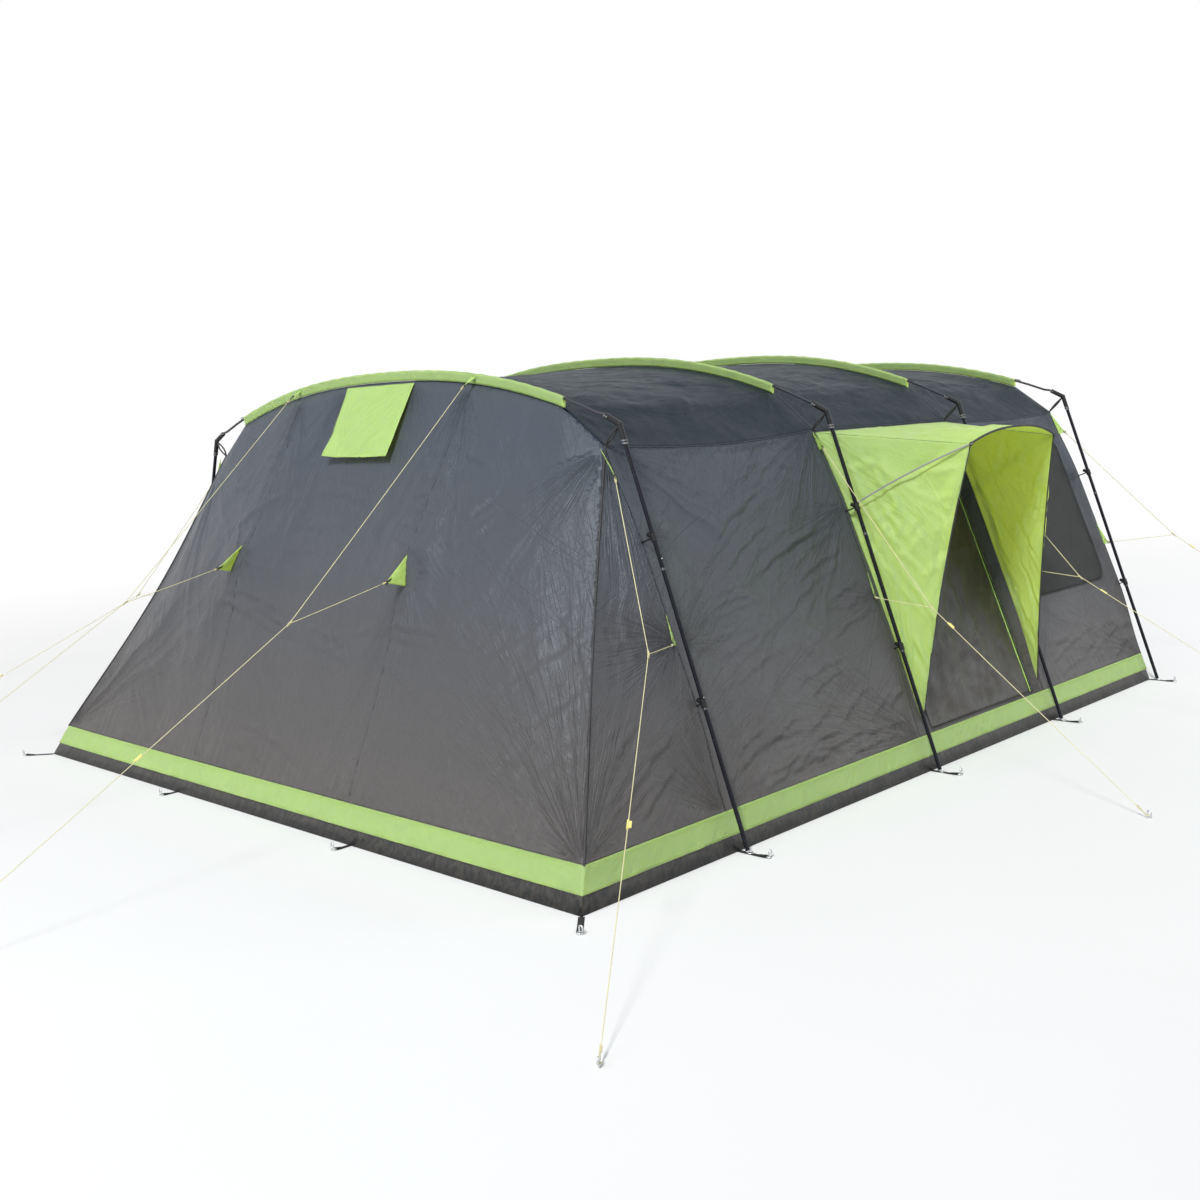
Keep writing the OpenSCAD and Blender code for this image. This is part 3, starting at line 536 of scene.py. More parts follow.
def tube_part(path, r, sides=8):
    """Round tube with capped ends whose rings stand on the path's points."""
    path = np.array(path, float)
    t = unit(np.gradient(path, axis=0))
    ref = vec(0, 0, 1) if np.abs(t[:, 2]).max() < 0.95 else vec(1, 0, 0)
    if np.abs(t @ ref).max() > 0.97:
        ref = unit(vec(0.31, 0.77, 0.2))
    s = unit(np.cross(t, ref))
    up = np.cross(s, t)
    a, n = np.arange(sides) * 2 * pi / sides, len(path)
    co = path[:, None] + (s[:, None] * np.cos(a)[:, None] + up[:, None] * np.sin(a)[:, None]) * r
    faces = [f[:1] + f[:0:-1] for f in sides_of(n, sides)]
    faces += [[*range(sides)], [*range((n - 1) * sides, n * sides)][::-1]]
    run = travel(path)
    uv = np.stack(np.broadcast_arrays(np.cos(a) * r, run[:, None]), -1).reshape(-1, 2)
    return co.reshape(-1, 3), faces, uv, (2 * r, run[-1], 2 * r * run[-1])


def ribbon(path, across, width, thick):
    """Flat strap with softened edges along a path; across is the way of its width."""
    path = np.array(path, float)
    side = unit(np.broadcast_to(np.array(across, float), path.shape))
    up = unit(np.cross(unit(np.gradient(path, axis=0)), side))
    e, w, h = thick * 0.35, width / 2, thick / 2
    shape = np.array([(-w, e - h), (e - w, -h), (w - e, -h), (w, e - h), (w, h - e), (w - e, h),
                      (e - w, h), (-w, h - e)])
    co = path[:, None] + side[:, None] * shape[:, :1] + up[:, None] * shape[:, 1:]
    n, m = co.shape[:2]
    faces = [*sides_of(n, m), [*range(m)][::-1], [*range((n - 1) * m, n * m)]]
    run = travel(path)
    uv = np.stack(np.broadcast_arrays(shape[:, 0], run[:, None]), -1).reshape(-1, 2)
    return co.reshape(-1, 3), faces, uv, (width, run[-1], width * run[-1])


def ring_part(at, normal, radius, r, n=24, stretch=(1, 1), ref=(0.2, 0.3, 1), sides=8):
    """Round or oval ring that stands on a centre."""
    normal = unit(normal)
    s = unit(np.cross(normal, ref))
    up = np.cross(normal, s)
    a = np.arange(n) * 2 * pi / n
    square = np.maximum(np.abs(np.cos(a)), np.abs(np.sin(a))) ** -0.6 if stretch != (1, 1) else 1
    x, y = (f(a) * square * k * radius for f, k in zip((np.cos, np.sin), stretch))
    path = np.array(at) + s * x[:, None] + up * y[:, None]
    b = np.cross(unit(np.roll(path, -1, 0) - np.roll(path, 1, 0)), normal)
    w = np.arange(sides) * 2 * pi / sides
    co = (path[:, None] + (b[:, None] * np.cos(w)[:, None] + normal * np.sin(w)[:, None]) * r).reshape(-1, 3)
    faces = sides_of(n, sides, closed=True)
    quad = co[faces[0]]
    if np.dot(np.cross(quad[1] - quad[0], quad[2] - quad[0]), quad.mean(0) - path[0]) < 0:
        faces = [f[::-1] for f in faces]
    return co, faces, np.zeros((len(co), 2)), (1, 1, 1)


def strand(points, step=0.06, sag=0.0):
    """Path through points, divided, that hangs a little between them."""
    out = [np.array(points[0], float)]
    for a, b in zip(points[:-1], points[1:]):
        a, b = np.array(a, float), np.array(b, float)
        n = max(1, int(np.linalg.norm(b - a) / step))
        for k in range(1, n + 1):
            q = a + (b - a) * k / n
            q[2] -= sag * np.linalg.norm(b - a) * hump(k / n)
            out.append(q)
    return np.array(out)


# ---- Sizes and colours that a user would change ----


def colour(name, about, value):
    return FloatVectorProperty(name=name, description=about, subtype="COLOR", size=3, min=0, max=1,
                               default=value)


def number(name, about, value, least, most, **more):
    return FloatProperty(name=name, description=about, default=value, min=least, max=most, **more)


length = partial(number, subtype="DISTANCE", unit="LENGTH")


class TentCloth(bpy.types.PropertyGroup):
    wall_colour: colour("Walls", "Colour of the wall cloth", (0.080, 0.078, 0.081))
    # The roof colour is the roof cloth's own dark colour made darker and bluer still: partly painted shade,
    # and its blue partly a painted sky reflection.
    roof_colour: colour("Roof", "Colour of the roof cloth", (0.018, 0.027, 0.037))
    trim_colour: colour("Trim", "Colour of the sleeves, band, porch and hood", (0.375, 0.65, 0.175))
    sheet_colour: colour("Groundsheet", "Colour of the groundsheet", (0.014, 0.015, 0.017))
    cabin_colour: colour("Cabin", "Colour of the sleeping cabin", (0.56, 0.54, 0.49))
    thickness: length("Thickness", "Thickness of the cloth", 0.0012, 0.0005, 0.003)
    swell: length("Swell", "Height of the soft swells between the arches", 0.006, 0, 0.02)
    folds: length("Folds", "Depth of the tension folds", 0.014, 0, 0.02)
    pull: length("Pull", "How far the guy lines draw out the slanted wall", 0.085, 0, 0.12)
    stitch: length("Stitch", "Distance from one stitch to the next", 0.011, 0.004, 0.03)


class TentFrame(bpy.types.PropertyGroup):
    leg_colour: colour("Legs", "Colour of the enamelled leg tubes", (0.005, 0.006, 0.010))
    rod_colour: colour("Roof poles", "Colour of the glass-fibre roof poles", (0.022, 0.025, 0.033))
    bow_colour: colour("Bow", "Colour of the porch bow", (0.24, 0.25, 0.25))
    plastic_colour: colour("Plastic", "Colour of the elbows, clips and buckles", (0.013, 0.013, 0.014))
    steel_colour: colour("Pegs", "Colour of the zinc-plated pegs and pins", (0.62, 0.63, 0.64))


class TentLines(bpy.types.PropertyGroup):
    cord_colour: colour("Cord", "Colour of the guy lines", (0.80, 0.74, 0.44))
    runner_colour: colour("Runner", "Colour of the line runners", (0.72, 0.66, 0.22))
    sag: number("Sag", "Dip of a line as a share of its length", 0.0025, 0, 0.01)
    sides: IntProperty(name="Sides", description="Sides of a line's round section", default=8, min=5, max=16)


class TentStage(bpy.types.PropertyGroup):
    lens: number("Lens", "Focal length of the camera", 41.33, 10, 200, unit="CAMERA")
    sun: number("Key light", "Strength of the key light", 3.15, 0, 10)
    box: number("Soft boxes", "Power of each soft box that shows on the folds", 120.0, 0, 1000, unit="POWER")
    sky: number("Fill", "Strength of the light from all sides", 0.34, 0, 3)


def props(group):
    return getattr(bpy.context.scene, "tent_" + group)


# ---- Nodes ----


def put(tree, kind, inputs=None, out=0, **settings):
    """Adds a node, whose inputs are values or other nodes' outputs, and gives one of its outputs."""
    node = tree.nodes.new(kind)
    for key, value in settings.items():
        setattr(node, key, value)
    for key, value in (inputs or {}).items():
        feed(tree, node.inputs[key], value)
    return node.outputs[out]


def feed(tree, socket, value):
    if isinstance(value, bpy.types.NodeSocket):
        tree.links.new(value, socket)
    else:
        socket.default_value = value


def new_tree(name, kind, inputs, outputs):
    """Node group whose inputs are each the name of a kind, or a value of it."""
    tree = bpy.data.node_groups.new(name, kind)
    kinds = {float: "Float", int: "Int"}
    for label, value in inputs.items():
        plain = isinstance(value, str)
        word = value if plain else kinds.get(type(value)) or ("Color" if len(value) == 4 else "Vector")
        socket = tree.interface.new_socket(label, in_out="INPUT", socket_type="NodeSocket" + word)
        if not plain:
            socket.default_value = value
    for label, word in outputs.items():
        tree.interface.new_socket(label, in_out="OUTPUT", socket_type="NodeSocket" + word)
    return tree, tree.nodes.new("NodeGroupInput").outputs, tree.nodes.new("NodeGroupOutput").inputs


def maths(tree, op, *values):
    return put(tree, "ShaderNodeMath", dict(enumerate(values)), operation=op)


def ramp(tree, value, lo, hi, to_lo=0.0, to_hi=1.0):
    return put(tree, "ShaderNodeMapRange", {0: value, 1: lo, 2: hi, 3: to_lo, 4: to_hi})


def noise(tree, place, scale, detail, rough=0.5, bend=0.0):
    inputs = {"Vector": place, "Scale": scale, "Detail": detail, "Roughness": rough, "Distortion": bend}
    return put(tree, "ShaderNodeTexNoise", inputs)


def crest(tree, value, width):
    """One where a value is a half, and nought from width off."""
    off = maths(tree, "ABSOLUTE", maths(tree, "SUBTRACT", value, 0.5))
    return ramp(tree, off, 0.0, width, 1.0, 0.0)


def tint(tree, fac, a, b, how="MIX"):
    return put(tree, "ShaderNodeMix", {0: fac, 6: a, 7: b}, 2, data_type="RGBA", blend_type=how)


def shaded(tree, colour, shade):
    grey = put(tree, "ShaderNodeCombineColor", {0: shade, 1: shade, 2: shade})
    return tint(tree, 1.0, colour, grey, "MULTIPLY")


def split(tree, place):
    return put(tree, "ShaderNodeSeparateXYZ", {0: place}).node.outputs


def bump(tree, strength, height):
    return put(tree, "ShaderNodeBump", {"Strength": strength, "Distance": 1.0, "Height": height})


LOOK = {"Colour": "Color", "Roughness": "Float", "Normal": "Vector"}
GREY = (0.1, 0.1, 0.1, 1)


def cloth_group():
    """Coated cloth: fine weave, sharp little creases, uneven colour, dust near the ground, painted
    highlights on the creases, and a painted tint of shade, sky and ground light.
    """
    tree, i, o = new_tree("Coated cloth", "ShaderNodeTree", {
        "Cloth": "Vector", "Place": "Vector", "Fold": "Vector", "Colour": GREY, "Weave": 0.0012,
        "Crease": 0.004,
        "Uneven": 0.12, "Sheen low": 0.42, "Sheen high": 0.62, "Dust": 0.1, "Fade": 0.0}, LOOK)
    kinds = ("MULTIPLY", "MULTIPLY_ADD", "SUBTRACT", "MAXIMUM")
    times, plus, less, most = (partial(maths, tree, kind) for kind in kinds)
    big = noise(tree, i["Cloth"], 1.6, 3.0, 0.55)
    mid = noise(tree, i["Cloth"], 9.0, 5.0, 0.6, 0.5)
    fine = noise(tree, i["Cloth"], 34.0, 4.0, 0.62, 0.8)
    crack, small = crest(tree, mid, 0.11), crest(tree, fine, 0.12)

    run = split(tree, i["Fold"])
    drawn = []
    for count, slide, width in ((13.0, 1.6, 0.05), (31.0, 3.5, 0.08)):
        lay = put(tree, "ShaderNodeCombineXYZ", {0: times(run[0], count), 1: times(run[1], slide)})
        drawn.append(crest(tree, noise(tree, lay, 1.0, 2.0), width))
    drawn = times(plus(drawn[1], 0.4, drawn[0]), run[2])

    packed = []
    for turn, seed in ((0.42, 3.0), (0.66, 11.0), (0.95, 19.0)):
        inputs = {0: i["Cloth"], 1: (seed, seed, 0), 2: (0, 0, turn), 3: (0.7, 0.045, 1.0)}
        lay = put(tree, "ShaderNodeMapping", inputs, vector_type="TEXTURE")
        line = crest(tree, noise(tree, lay, 1.0, 2.0, 0.45, 0.25), 0.035)
        packed.append(times(line, ramp(tree, noise(tree, lay, 0.35, 1.0), 0.47, 0.62)))
    packed = most(most(packed[0], packed[1]), packed[2])

    where = ramp(tree, big, 0.4, 0.62)
    creases = maths(tree, "ADD", times(crack, plus(where, 0.22, 0.05)), times(small, 0.06))
    creases = plus(packed, 0.22, plus(drawn, 1.1, creases))
    across = split(tree, i["Cloth"])
    pitch = maths(tree, "DIVIDE", pi, i["Weave"])
    warp, weft = (maths(tree, "SINE", times(across[k], pitch)) for k in (0, 1))
    height = plus(creases, i["Crease"], times(times(warp, weft), times(i["Weave"], 0.05)))
    feed(tree, o["Normal"], bump(tree, 0.85, height))

    shade = plus(less(big, 0.5), i["Uneven"], 1.0)
    shade = plus(less(fine, 0.5), times(i["Uneven"], 0.35), shade)
    # Painted highlight: the creases are made lighter in the colour, as if their ridges caught the light; the
    # two lines above give uneven tone at random.
    shade = plus(plus(crack, 0.25, plus(packed, 0.4, drawn)), times(i["Uneven"], 0.45), shade)
    low = split(tree, i["Place"])[2]
    # Painted light: the colour grows darker and bluer towards the top, as painted shade and a painted blue
    # sky reflection, and warmer towards the bottom, as painted light from the ground.
    light_tint_share = times(ramp(tree, low, 0.3, 1.7), i["Fade"])
    light_tint = tint(tree, light_tint_share, (0.97, 0.92, 0.86, 1), (0.58, 0.71, 0.88, 1))
    base = shaded(tree, tint(tree, 1.0, i["Colour"], light_tint, "MULTIPLY"), shade)
    near = ramp(tree, plus(mid, 0.25, low), 0.1, 0.55, 1.0, 0.0)
    dusty = times(times(near, ramp(tree, fine, 0.42, 0.62)), i["Dust"])
    feed(tree, o["Colour"], tint(tree, dusty, base, (0.33, 0.29, 0.22, 1)))
    rough = ramp(tree, mid, 0.3, 0.7, i["Sheen low"], i["Sheen high"])
    feed(tree, o["Roughness"], maths(tree, "ADD", rough, times(dusty, 0.4)))
    return tree


def wear_group():
    """Hard finishes: fine scratches, handling marks and a grain of the given size."""
    tree, i, o = new_tree("Worn finish", "ShaderNodeTree", {
        "Place": "Vector", "Colour": GREY, "Worn": (0.3, 0.3, 0.3, 1), "Grain": 900.0, "Depth": 0.00004,
        "Smooth": 0.3, "Rough": 0.5, "Wear": 0.2}, LOOK)
    times, plus, less = (partial(maths, tree, op) for op in ("MULTIPLY", "MULTIPLY_ADD", "SUBTRACT"))
    grain = noise(tree, i["Place"], i["Grain"], 3.0, 0.6)
    blot = noise(tree, i["Place"], 14.0, 5.0, 0.62)
    stretch = put(tree, "ShaderNodeMapping", {0: i["Place"], 3: (420.0, 420.0, 16.0)})
    lines = times(ramp(tree, noise(tree, stretch, 1.0, 2.0), 0.66, 0.72), ramp(tree, blot, 0.42, 0.6))
    mask = times(lines, i["Wear"])
    shade = plus(less(blot, 0.5), 0.28, 1.0)
    feed(tree, o["Colour"], tint(tree, mask, shaded(tree, i["Colour"], shade), i["Worn"]))
    rough = ramp(tree, blot, 0.3, 0.7, i["Smooth"], i["Rough"])
    feed(tree, o["Roughness"], plus(mask, 0.25, rough))
    feed(tree, o["Normal"], bump(tree, 0.5, times(less(grain, lines), i["Depth"])))
    return tree


def yarn_group():
    """Braid or webbing: ribs that cross the piece at a slant, from its own map, with painted shade in the
    grooves between them.
    """
    tree, i, o = new_tree("Yarn", "ShaderNodeTree", {
        "Cloth": "Vector", "Colour": GREY, "Pitch": 0.002, "Depth": 0.0003, "Dark": 0.55}, LOOK)
    times, add, less = (partial(maths, tree, op) for op in ("MULTIPLY", "ADD", "SUBTRACT"))
    across = split(tree, i["Cloth"])
    step = maths(tree, "DIVIDE", 2 * pi, i["Pitch"])
    one, two = (maths(tree, "SINE", times(way(across[1], across[0]), step)) for way in (add, less))
    rib = maths(tree, "MAXIMUM", one, two)
    fuzz = noise(tree, i["Cloth"], 260.0, 3.0, 0.6)
    soil = noise(tree, i["Cloth"], 7.0, 3.0, 0.6)
    # Painted shade: the grooves between the ribs are darkened down to Dark; the fuzz and the soil noise add
    # uneven tone and dirt.
    shade = ramp(tree, maths(tree, "MULTIPLY_ADD", less(fuzz, 0.5), 1.2, rib), -0.3, 0.9, i["Dark"], 1.0)
    shade = times(shade, ramp(tree, soil, 0.3, 0.7, 0.86, 1.06))
    feed(tree, o["Colour"], shaded(tree, i["Colour"], shade))
    feed(tree, o["Roughness"], ramp(tree, fuzz, 0.3, 0.7, 0.68, 0.9))
    feed(tree, o["Normal"], bump(tree, 0.6, times(add(rib, fuzz), i["Depth"])))
    return tree


# ---- Finishes: kind, colour or the property that holds it, the group's values, the shader's own ----

KINDS = {
    "cloth": ("Coated cloth", cloth_group,
              ("Crease", "Uneven", "Dust", "Sheen low", "Sheen high", "Fade", "Weave")),
    "wear": ("Worn finish", wear_group, ("Worn", "Grain", "Depth", "Smooth", "Rough", "Wear")),
    "yarn": ("Yarn", yarn_group, ("Pitch", "Depth", "Dark")),
}
FINISHES = {
    # The bluish specular tints of the wall and roof cloth paint a blue sky into their reflections.
    "Wall cloth": ("cloth", "cloth.wall", (0.007, 0.12, 0.08, 0.38, 0.48, 1.0, 0.0012),
                   {"Specular IOR Level": 0.3, "Specular Tint": (0.84, 0.93, 1.0, 1)}),
    "Roof cloth": ("cloth", "cloth.roof", (0.006, 0.2, 0.0, 0.42, 0.6, 0.0, 0.0012),
                   {"Specular IOR Level": 0.12, "Specular Tint": (0.66, 0.86, 1.0, 1)}),
    "Lime cloth": ("cloth", "cloth.trim", (0.006, 0.16, 0.05, 0.42, 0.62, 0.0, 0.0012),
                   {"Specular IOR Level": 0.3, "Subsurface Weight": 0.8,
                    "Subsurface Radius": (1.0, 1.0, 0.3), "Subsurface Scale": 0.012}),
    "Door cloth": ("cloth", (0.035, 0.033, 0.030), (0.005, 0.2, 0.08, 0.34, 0.55, 0.0, 0.0012),
                   {"Specular IOR Level": 0.35, "Sheen Weight": 0.05}),
    "Groundsheet cloth": ("cloth", "cloth.sheet", (0.005, 0.25, 0.12, 0.3, 0.5, 0.0, 0.003),
                          {"Specular IOR Level": 0.5}),
    "Cabin cloth": ("cloth", "cloth.cabin", (0.004, 0.08, 0.03, 0.7, 0.85, 0.0, 0.0012),
                    {"Sheen Weight": 0.25, "Sheen Roughness": 0.5}),
    "Black plastic": ("wear", "frame.plastic", ((0.09, 0.09, 0.09, 1), 1400.0, 0.00005, 0.22, 0.34, 0.3),
                      {"Specular IOR Level": 0.25}),
    "Leg enamel": ("wear", "frame.leg", ((0.22, 0.23, 0.25, 1), 700.0, 0.00002, 0.16, 0.25, 0.4),
                   {"Specular IOR Level": 0.22}),
    "Roof pole finish": ("wear", "frame.rod", ((0.15, 0.15, 0.15, 1), 500.0, 0.00004, 0.28, 0.42, 0.3), {}),
    "Bow finish": ("wear", "frame.bow", ((0.6, 0.6, 0.58, 1), 500.0, 0.00004, 0.3, 0.45, 0.3), {}),
    "Zinc-plated steel": ("wear", "frame.steel", ((0.30, 0.28, 0.25, 1), 320.0, 0.00005, 0.24, 0.42, 0.6),
                          {"Metallic": 1.0}),
    "Joint collar": ("wear", (0.045, 0.048, 0.055), ((0.3, 0.3, 0.3, 1), 900.0, 0.00004, 0.28, 0.4, 0.4),
                     {}),
    "Elbow cap": ("wear", (0.17, 0.175, 0.18), ((0.5, 0.5, 0.5, 1), 900.0, 0.00004, 0.35, 0.5, 0.3), {}),
    "Runner plastic": ("wear", "lines.runner", ((0.8, 0.76, 0.5, 1), 1200.0, 0.00004, 0.35, 0.5, 0.3), {}),
    "Lime thread": ("wear", (0.42, 0.62, 0.08), ((0.42, 0.62, 0.08, 1), 2500.0, 0.0001, 0.6, 0.8, 0.2), {}),
    "Dark thread": ("wear", (0.03, 0.03, 0.032), ((0.03, 0.03, 0.032, 1), 2500.0, 0.0001, 0.6, 0.8, 0.2),
                    {}),
    "Dark binding": ("wear", (0.022, 0.022, 0.023),
                     ((0.05, 0.05, 0.05, 1), 900.0, 0.0002, 0.55, 0.8, 0.2), {}),
    "Webbing": ("yarn", (0.02, 0.02, 0.021), (0.0032, 0.0005, 0.5), {}),
    "Guy cord": ("yarn", "lines.cord", (0.0036, 0.0003, 0.66), {}),
    "Screen net": ("yarn", (0.035, 0.036, 0.033), (0.004, 0.0002, 0.7), {}),
}


def finish(name):
    """Material whose group gives colour, roughness and normal to a Principled shader with its own values."""
    if name in bpy.data.materials:
        return bpy.data.materials[name]
    kind, shade, values, shader = FINISHES[name]
    if isinstance(shade, str):
        page, word = shade.split(".")
        shade = getattr(props(page), word + "_colour")
    label, build, keys = KINDS[kind]
    mat = bpy.data.materials.new(name)
    mat.use_nodes = True
    tree = mat.node_tree
    bsdf = tree.nodes["Principled BSDF"]
    coord = tree.nodes.new("ShaderNodeTexCoord").outputs
    node = tree.nodes.new("ShaderNodeGroup")
    node.node_tree = bpy.data.node_groups.get(label) or build()
    places = {"Cloth": coord["UV"], "Place": coord["Object"]}
    if "Fold" in node.inputs:
        places["Fold"] = put(tree, "ShaderNodeAttribute", out="Vector", attribute_name="Fold",
                             attribute_type="GEOMETRY")
    for key, value in {**places, "Colour": (*shade, 1), **dict(zip(keys, values))}.items():
        if key in node.inputs:
            feed(tree, node.inputs[key], value)
    for key, socket in (("Colour", "Base Color"), ("Roughness", "Roughness"), ("Normal", "Normal")):
        tree.links.new(node.outputs[key], bsdf.inputs[socket])
    for key, value in shader.items():
        bsdf.inputs[key].default_value = value
    if name == "Screen net":
        feed(tree, bsdf.inputs["Alpha"], holes(tree, coord["UV"]))
    mat.diffuse_color = (*shade, 1)
    return mat


def holes(tree, place):
    """Openings of a fine net, which let some light through."""
    at = split(tree, place)
    bars = [maths(tree, "ABSOLUTE", maths(tree, "SINE", maths(tree, "MULTIPLY", at[k], pi / 0.0016)))
            for k in (0, 1)]
    hole = maths(tree, "MULTIPLY", *(ramp(tree, bar, 0.45, 0.6) for bar in bars))
    return ramp(tree, hole, 0.0, 1.0, 1.0, 0.35)


# ---- Geometry node trees for what repeats or follows a path ----


def path_tree(name, inputs, build, soft=True):
    """Tree that builds something along its curve, with real geometry, shading and the material."""
    everything = {"Geometry": "Geometry", **inputs, "Material": "Material"}
    tree, i, o = new_tree(name, "GeometryNodeTree", everything, {"Geometry": "Geometry"})
    real = put(tree, "GeometryNodeRealizeInstances", {0: build(tree, i)})
    if soft:
        real = put(tree, "GeometryNodeSetShadeSmooth", {0: real, "Shade Smooth": True})
    feed(tree, o[0], put(tree, "GeometryNodeSetMaterial", {0: real, "Material": i["Material"]}))
    return tree


def lay(tree, points, one, axis, **more):
    """One instance on each point, whose axis runs along the path."""
    tangent = put(tree, "GeometryNodeInputTangent")
    turn = put(tree, "FunctionNodeAlignRotationToVector", {"Vector": tangent}, axis=axis)
    return put(tree, "GeometryNodeInstanceOnPoints",
               {"Points": points, "Instance": one, "Rotation": turn, **more})


def evenly(tree, i):
    return put(tree, "GeometryNodeResampleCurve", {"Curve": i["Geometry"], "Length": i["Pitch"]},
               mode="LENGTH")


def rod(tree, sides, radius, long):
    return put(tree, "GeometryNodeMeshCylinder", {"Vertices": sides, "Radius": radius, "Depth": long})


def piping(tree, i):
    ring = put(tree, "GeometryNodeCurvePrimitiveCircle", {"Resolution": i["Sides"], "Radius": i["Radius"]})
    inputs = {"Curve": i["Geometry"], "Profile Curve": ring, "Fill Caps": True}
    return put(tree, "GeometryNodeCurveToMesh", inputs)


def stitches(tree, i):
    """One stitch for each pitch, a little uneven from a fixed seed."""
    uneven = put(tree, "FunctionNodeRandomValue", {2: 0.8, 3: 1.15, "Seed": i["Seed"]}, 1, data_type="FLOAT")
    return lay(tree, evenly(tree, i), rod(tree, 5, i["Thread"], i["Length"]), "Z", Scale=uneven)


def teeth(tree, i):
    """Moulded zip teeth, in two rows that mesh."""
    odd = maths(tree, "MODULO", put(tree, "GeometryNodeInputIndex"), 2.0)
    shift = put(tree, "ShaderNodeCombineXYZ", {0: maths(tree, "MULTIPLY_ADD", odd, 0.0016, -0.0008)})
    points = put(tree, "GeometryNodeSetPosition", {0: evenly(tree, i), "Offset": shift})
    return lay(tree, points, put(tree, "GeometryNodeMeshCube", {"Size": i["Tooth"]}), "Y")


def collars(tree, i):
    """A short collar on each point: pole joints and caps."""
    points = put(tree, "GeometryNodeCurveToPoints", {"Curve": i["Geometry"]}, mode="EVALUATED")
    return lay(tree, points, rod(tree, i["Sides"], i["Radius"], i["Length"]), "Z")


TREES = {
    "Piping": ({"Radius": 0.003, "Sides": 8}, piping),
    "Stitches": ({"Pitch": 0.01, "Length": 0.0065, "Thread": 0.0008, "Seed": 4}, stitches),
    "Zip teeth": ({"Pitch": 0.005, "Tooth": (0.007, 0.0022, 0.0026)}, teeth, False),
    "Collars": ({"Radius": 0.0105, "Length": 0.03, "Sides": 20}, collars),
}


def follow(name, tree, paths, look, slot, body="tent", **inputs):
    """Runs a tree along paths and keeps the result as a plain mesh that rides on body."""
    curve = bpy.data.curves.new(name, "CURVE")
    curve.dimensions = "3D"
    for path in paths:
        spline = curve.splines.new("POLY")
        spline.points.add(len(path) - 1)
        co = np.concatenate([np.array(path, float), np.ones((len(path), 1))], 1)
        spline.points.foreach_set("co", co.ravel())
    obj = add_object(name, curve)
    mod = obj.modifiers.new(tree, "NODES")
    mod.node_group = bpy.data.node_groups.get(tree) or path_tree(tree, *TREES[tree])
    inputs["Material"] = finish(look)
    for item in mod.node_group.interface.items_tree:
        if item.in_out == "INPUT" and item.name in inputs:
            mod[item.identifier] = inputs[item.name]
    obj = settle(obj)
    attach(obj, body)
    return obj


def hard(name, parts, look, body="tent", nodes=()):
    """Makes parts into one hard piece that rides on body."""
    obj = add_mesh(name, parts)
    obj.data.materials.append(finish(look))
    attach(obj, body)
    if nodes:
        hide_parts(*nodes)
    return obj


def paint(look, *nodes):
    """Gives kept CAD pieces their finish."""
    for node in nodes:
        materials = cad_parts[node].data.materials
        materials.clear()
        materials.append(finish(look))


# ---- Shapes of the tent's own pieces ----


def wall_pulls(i):
    """Where the tension folds of a side wall's panel start."""
    a, b = ARCH_X[i], ARCH_X[i + 1]
    low, high = (z / cos(LEAN) for z in (0.82, 1.28))
    return [((a, WALL_L), -0.8, 0.8, 0.3, 14, 0.4), ((b, WALL_L), pi + 0.7, 0.8, 0.3, 14, 0.4),
            ((a, BAND_TOP), 0.85, 0.62, 0.4, 11, 0.3), ((b, BAND_TOP), pi - 0.5, 0.5, 0.45, 12, 0.7),
            ((a, low), 0.45, 0.8, 0.34, 12, 0.35), ((b, low), pi - 0.1, 0.8, 0.24, 11, 0.4),
            ((a, high), -0.1, 0.8, 0.2, 11, 0.3), ((b, high), pi + 0.5, 0.7, 0.34, 11, 0.6)]


def wall_folds(i, seed):
    """Folds of a side wall's panel in bay i, over places (x, s up the wall)."""
    own = props("cloth")
    a, b = ARCH_X[i], ARCH_X[i + 1]
    top = WALL_L - SEAM_SAG[i] / 2
    long = (0.2, 0.6)
    lines = [*(bundles(SIDE_CREASES) if i == 0 else []),
             *strewn(seed, 26, (a + 0.1, 0.7, b, 1.7), 0.45, 0.15, long, (1.2, 3.2), (10, 13)),
             *strewn(seed + 1, 22, (a + 0.2, 0.18, b, 0.42), 0.2, 0.15, long, (2.5, 7.0), (11, 14)),
             *strewn(seed + 2, 16, (a, 1.45, b, 1.75), -0.6, 0.5, (0.08, 0.3), (1.5, 3.5), (10, 12))]

    def lift(p):
        u = np.clip((p[..., 0] - a) / (b - a), 0, 1)
        seams = puckers(p, (a, BAND_TOP), (b, BAND_TOP), 0.10, 0.075, seed)
        seams = seams + puckers(p, (a, top), (b, top), 0.08, 0.05, seed + 4)
        hollow = -0.016 * hump(u) * smooth(p[..., 1] / 0.8)
        drawn = 0.8 * own.folds * fans(p, wall_pulls(i), seed)
        return own.swell * waves(p, 0.62, seed) + drawn + 0.0036 * seams + hollow + creased(p, lines)

    return lift


def wall_part(i, side, step, hole=None, seed=0):
    a, b = ARCH_X[i] + 0.0003, ARCH_X[i + 1] - 0.0003
    u = np.linspace(1, 0, 25)
    top = np.stack([a + (b - a) * u, WALL_L - 0.0015 - SEAM_SAG[i] * hump(u)], -1)
    outline = np.concatenate([[(a, BAND_TOP), (b, BAND_TOP)], top])
    return cut(outline, [] if hole is None else [hole], step, lambda p: on_wall(*p.T, side), (0, side, 0.3),
               wall_folds(i, seed), pulls=wall_pulls(i), rim=lambda p, co: drawn_out(side, *p.T))


def pulled(p):
    """Share by which the guy lines draw out the slanted wall at places (y, z)."""
    out = 0
    for side in (-1, 1):
        d = p - vec(side * PULL[0], PULL[1])
        r = np.sqrt((d[..., 0] / 0.44) ** 2 + (d[..., 1] / 0.56) ** 2 + 0.012)
        out = out + np.exp(-1.9 * (r - 0.11))
    return out


def end_place(p):
    return stack(end_x(*p.T), *p.T)


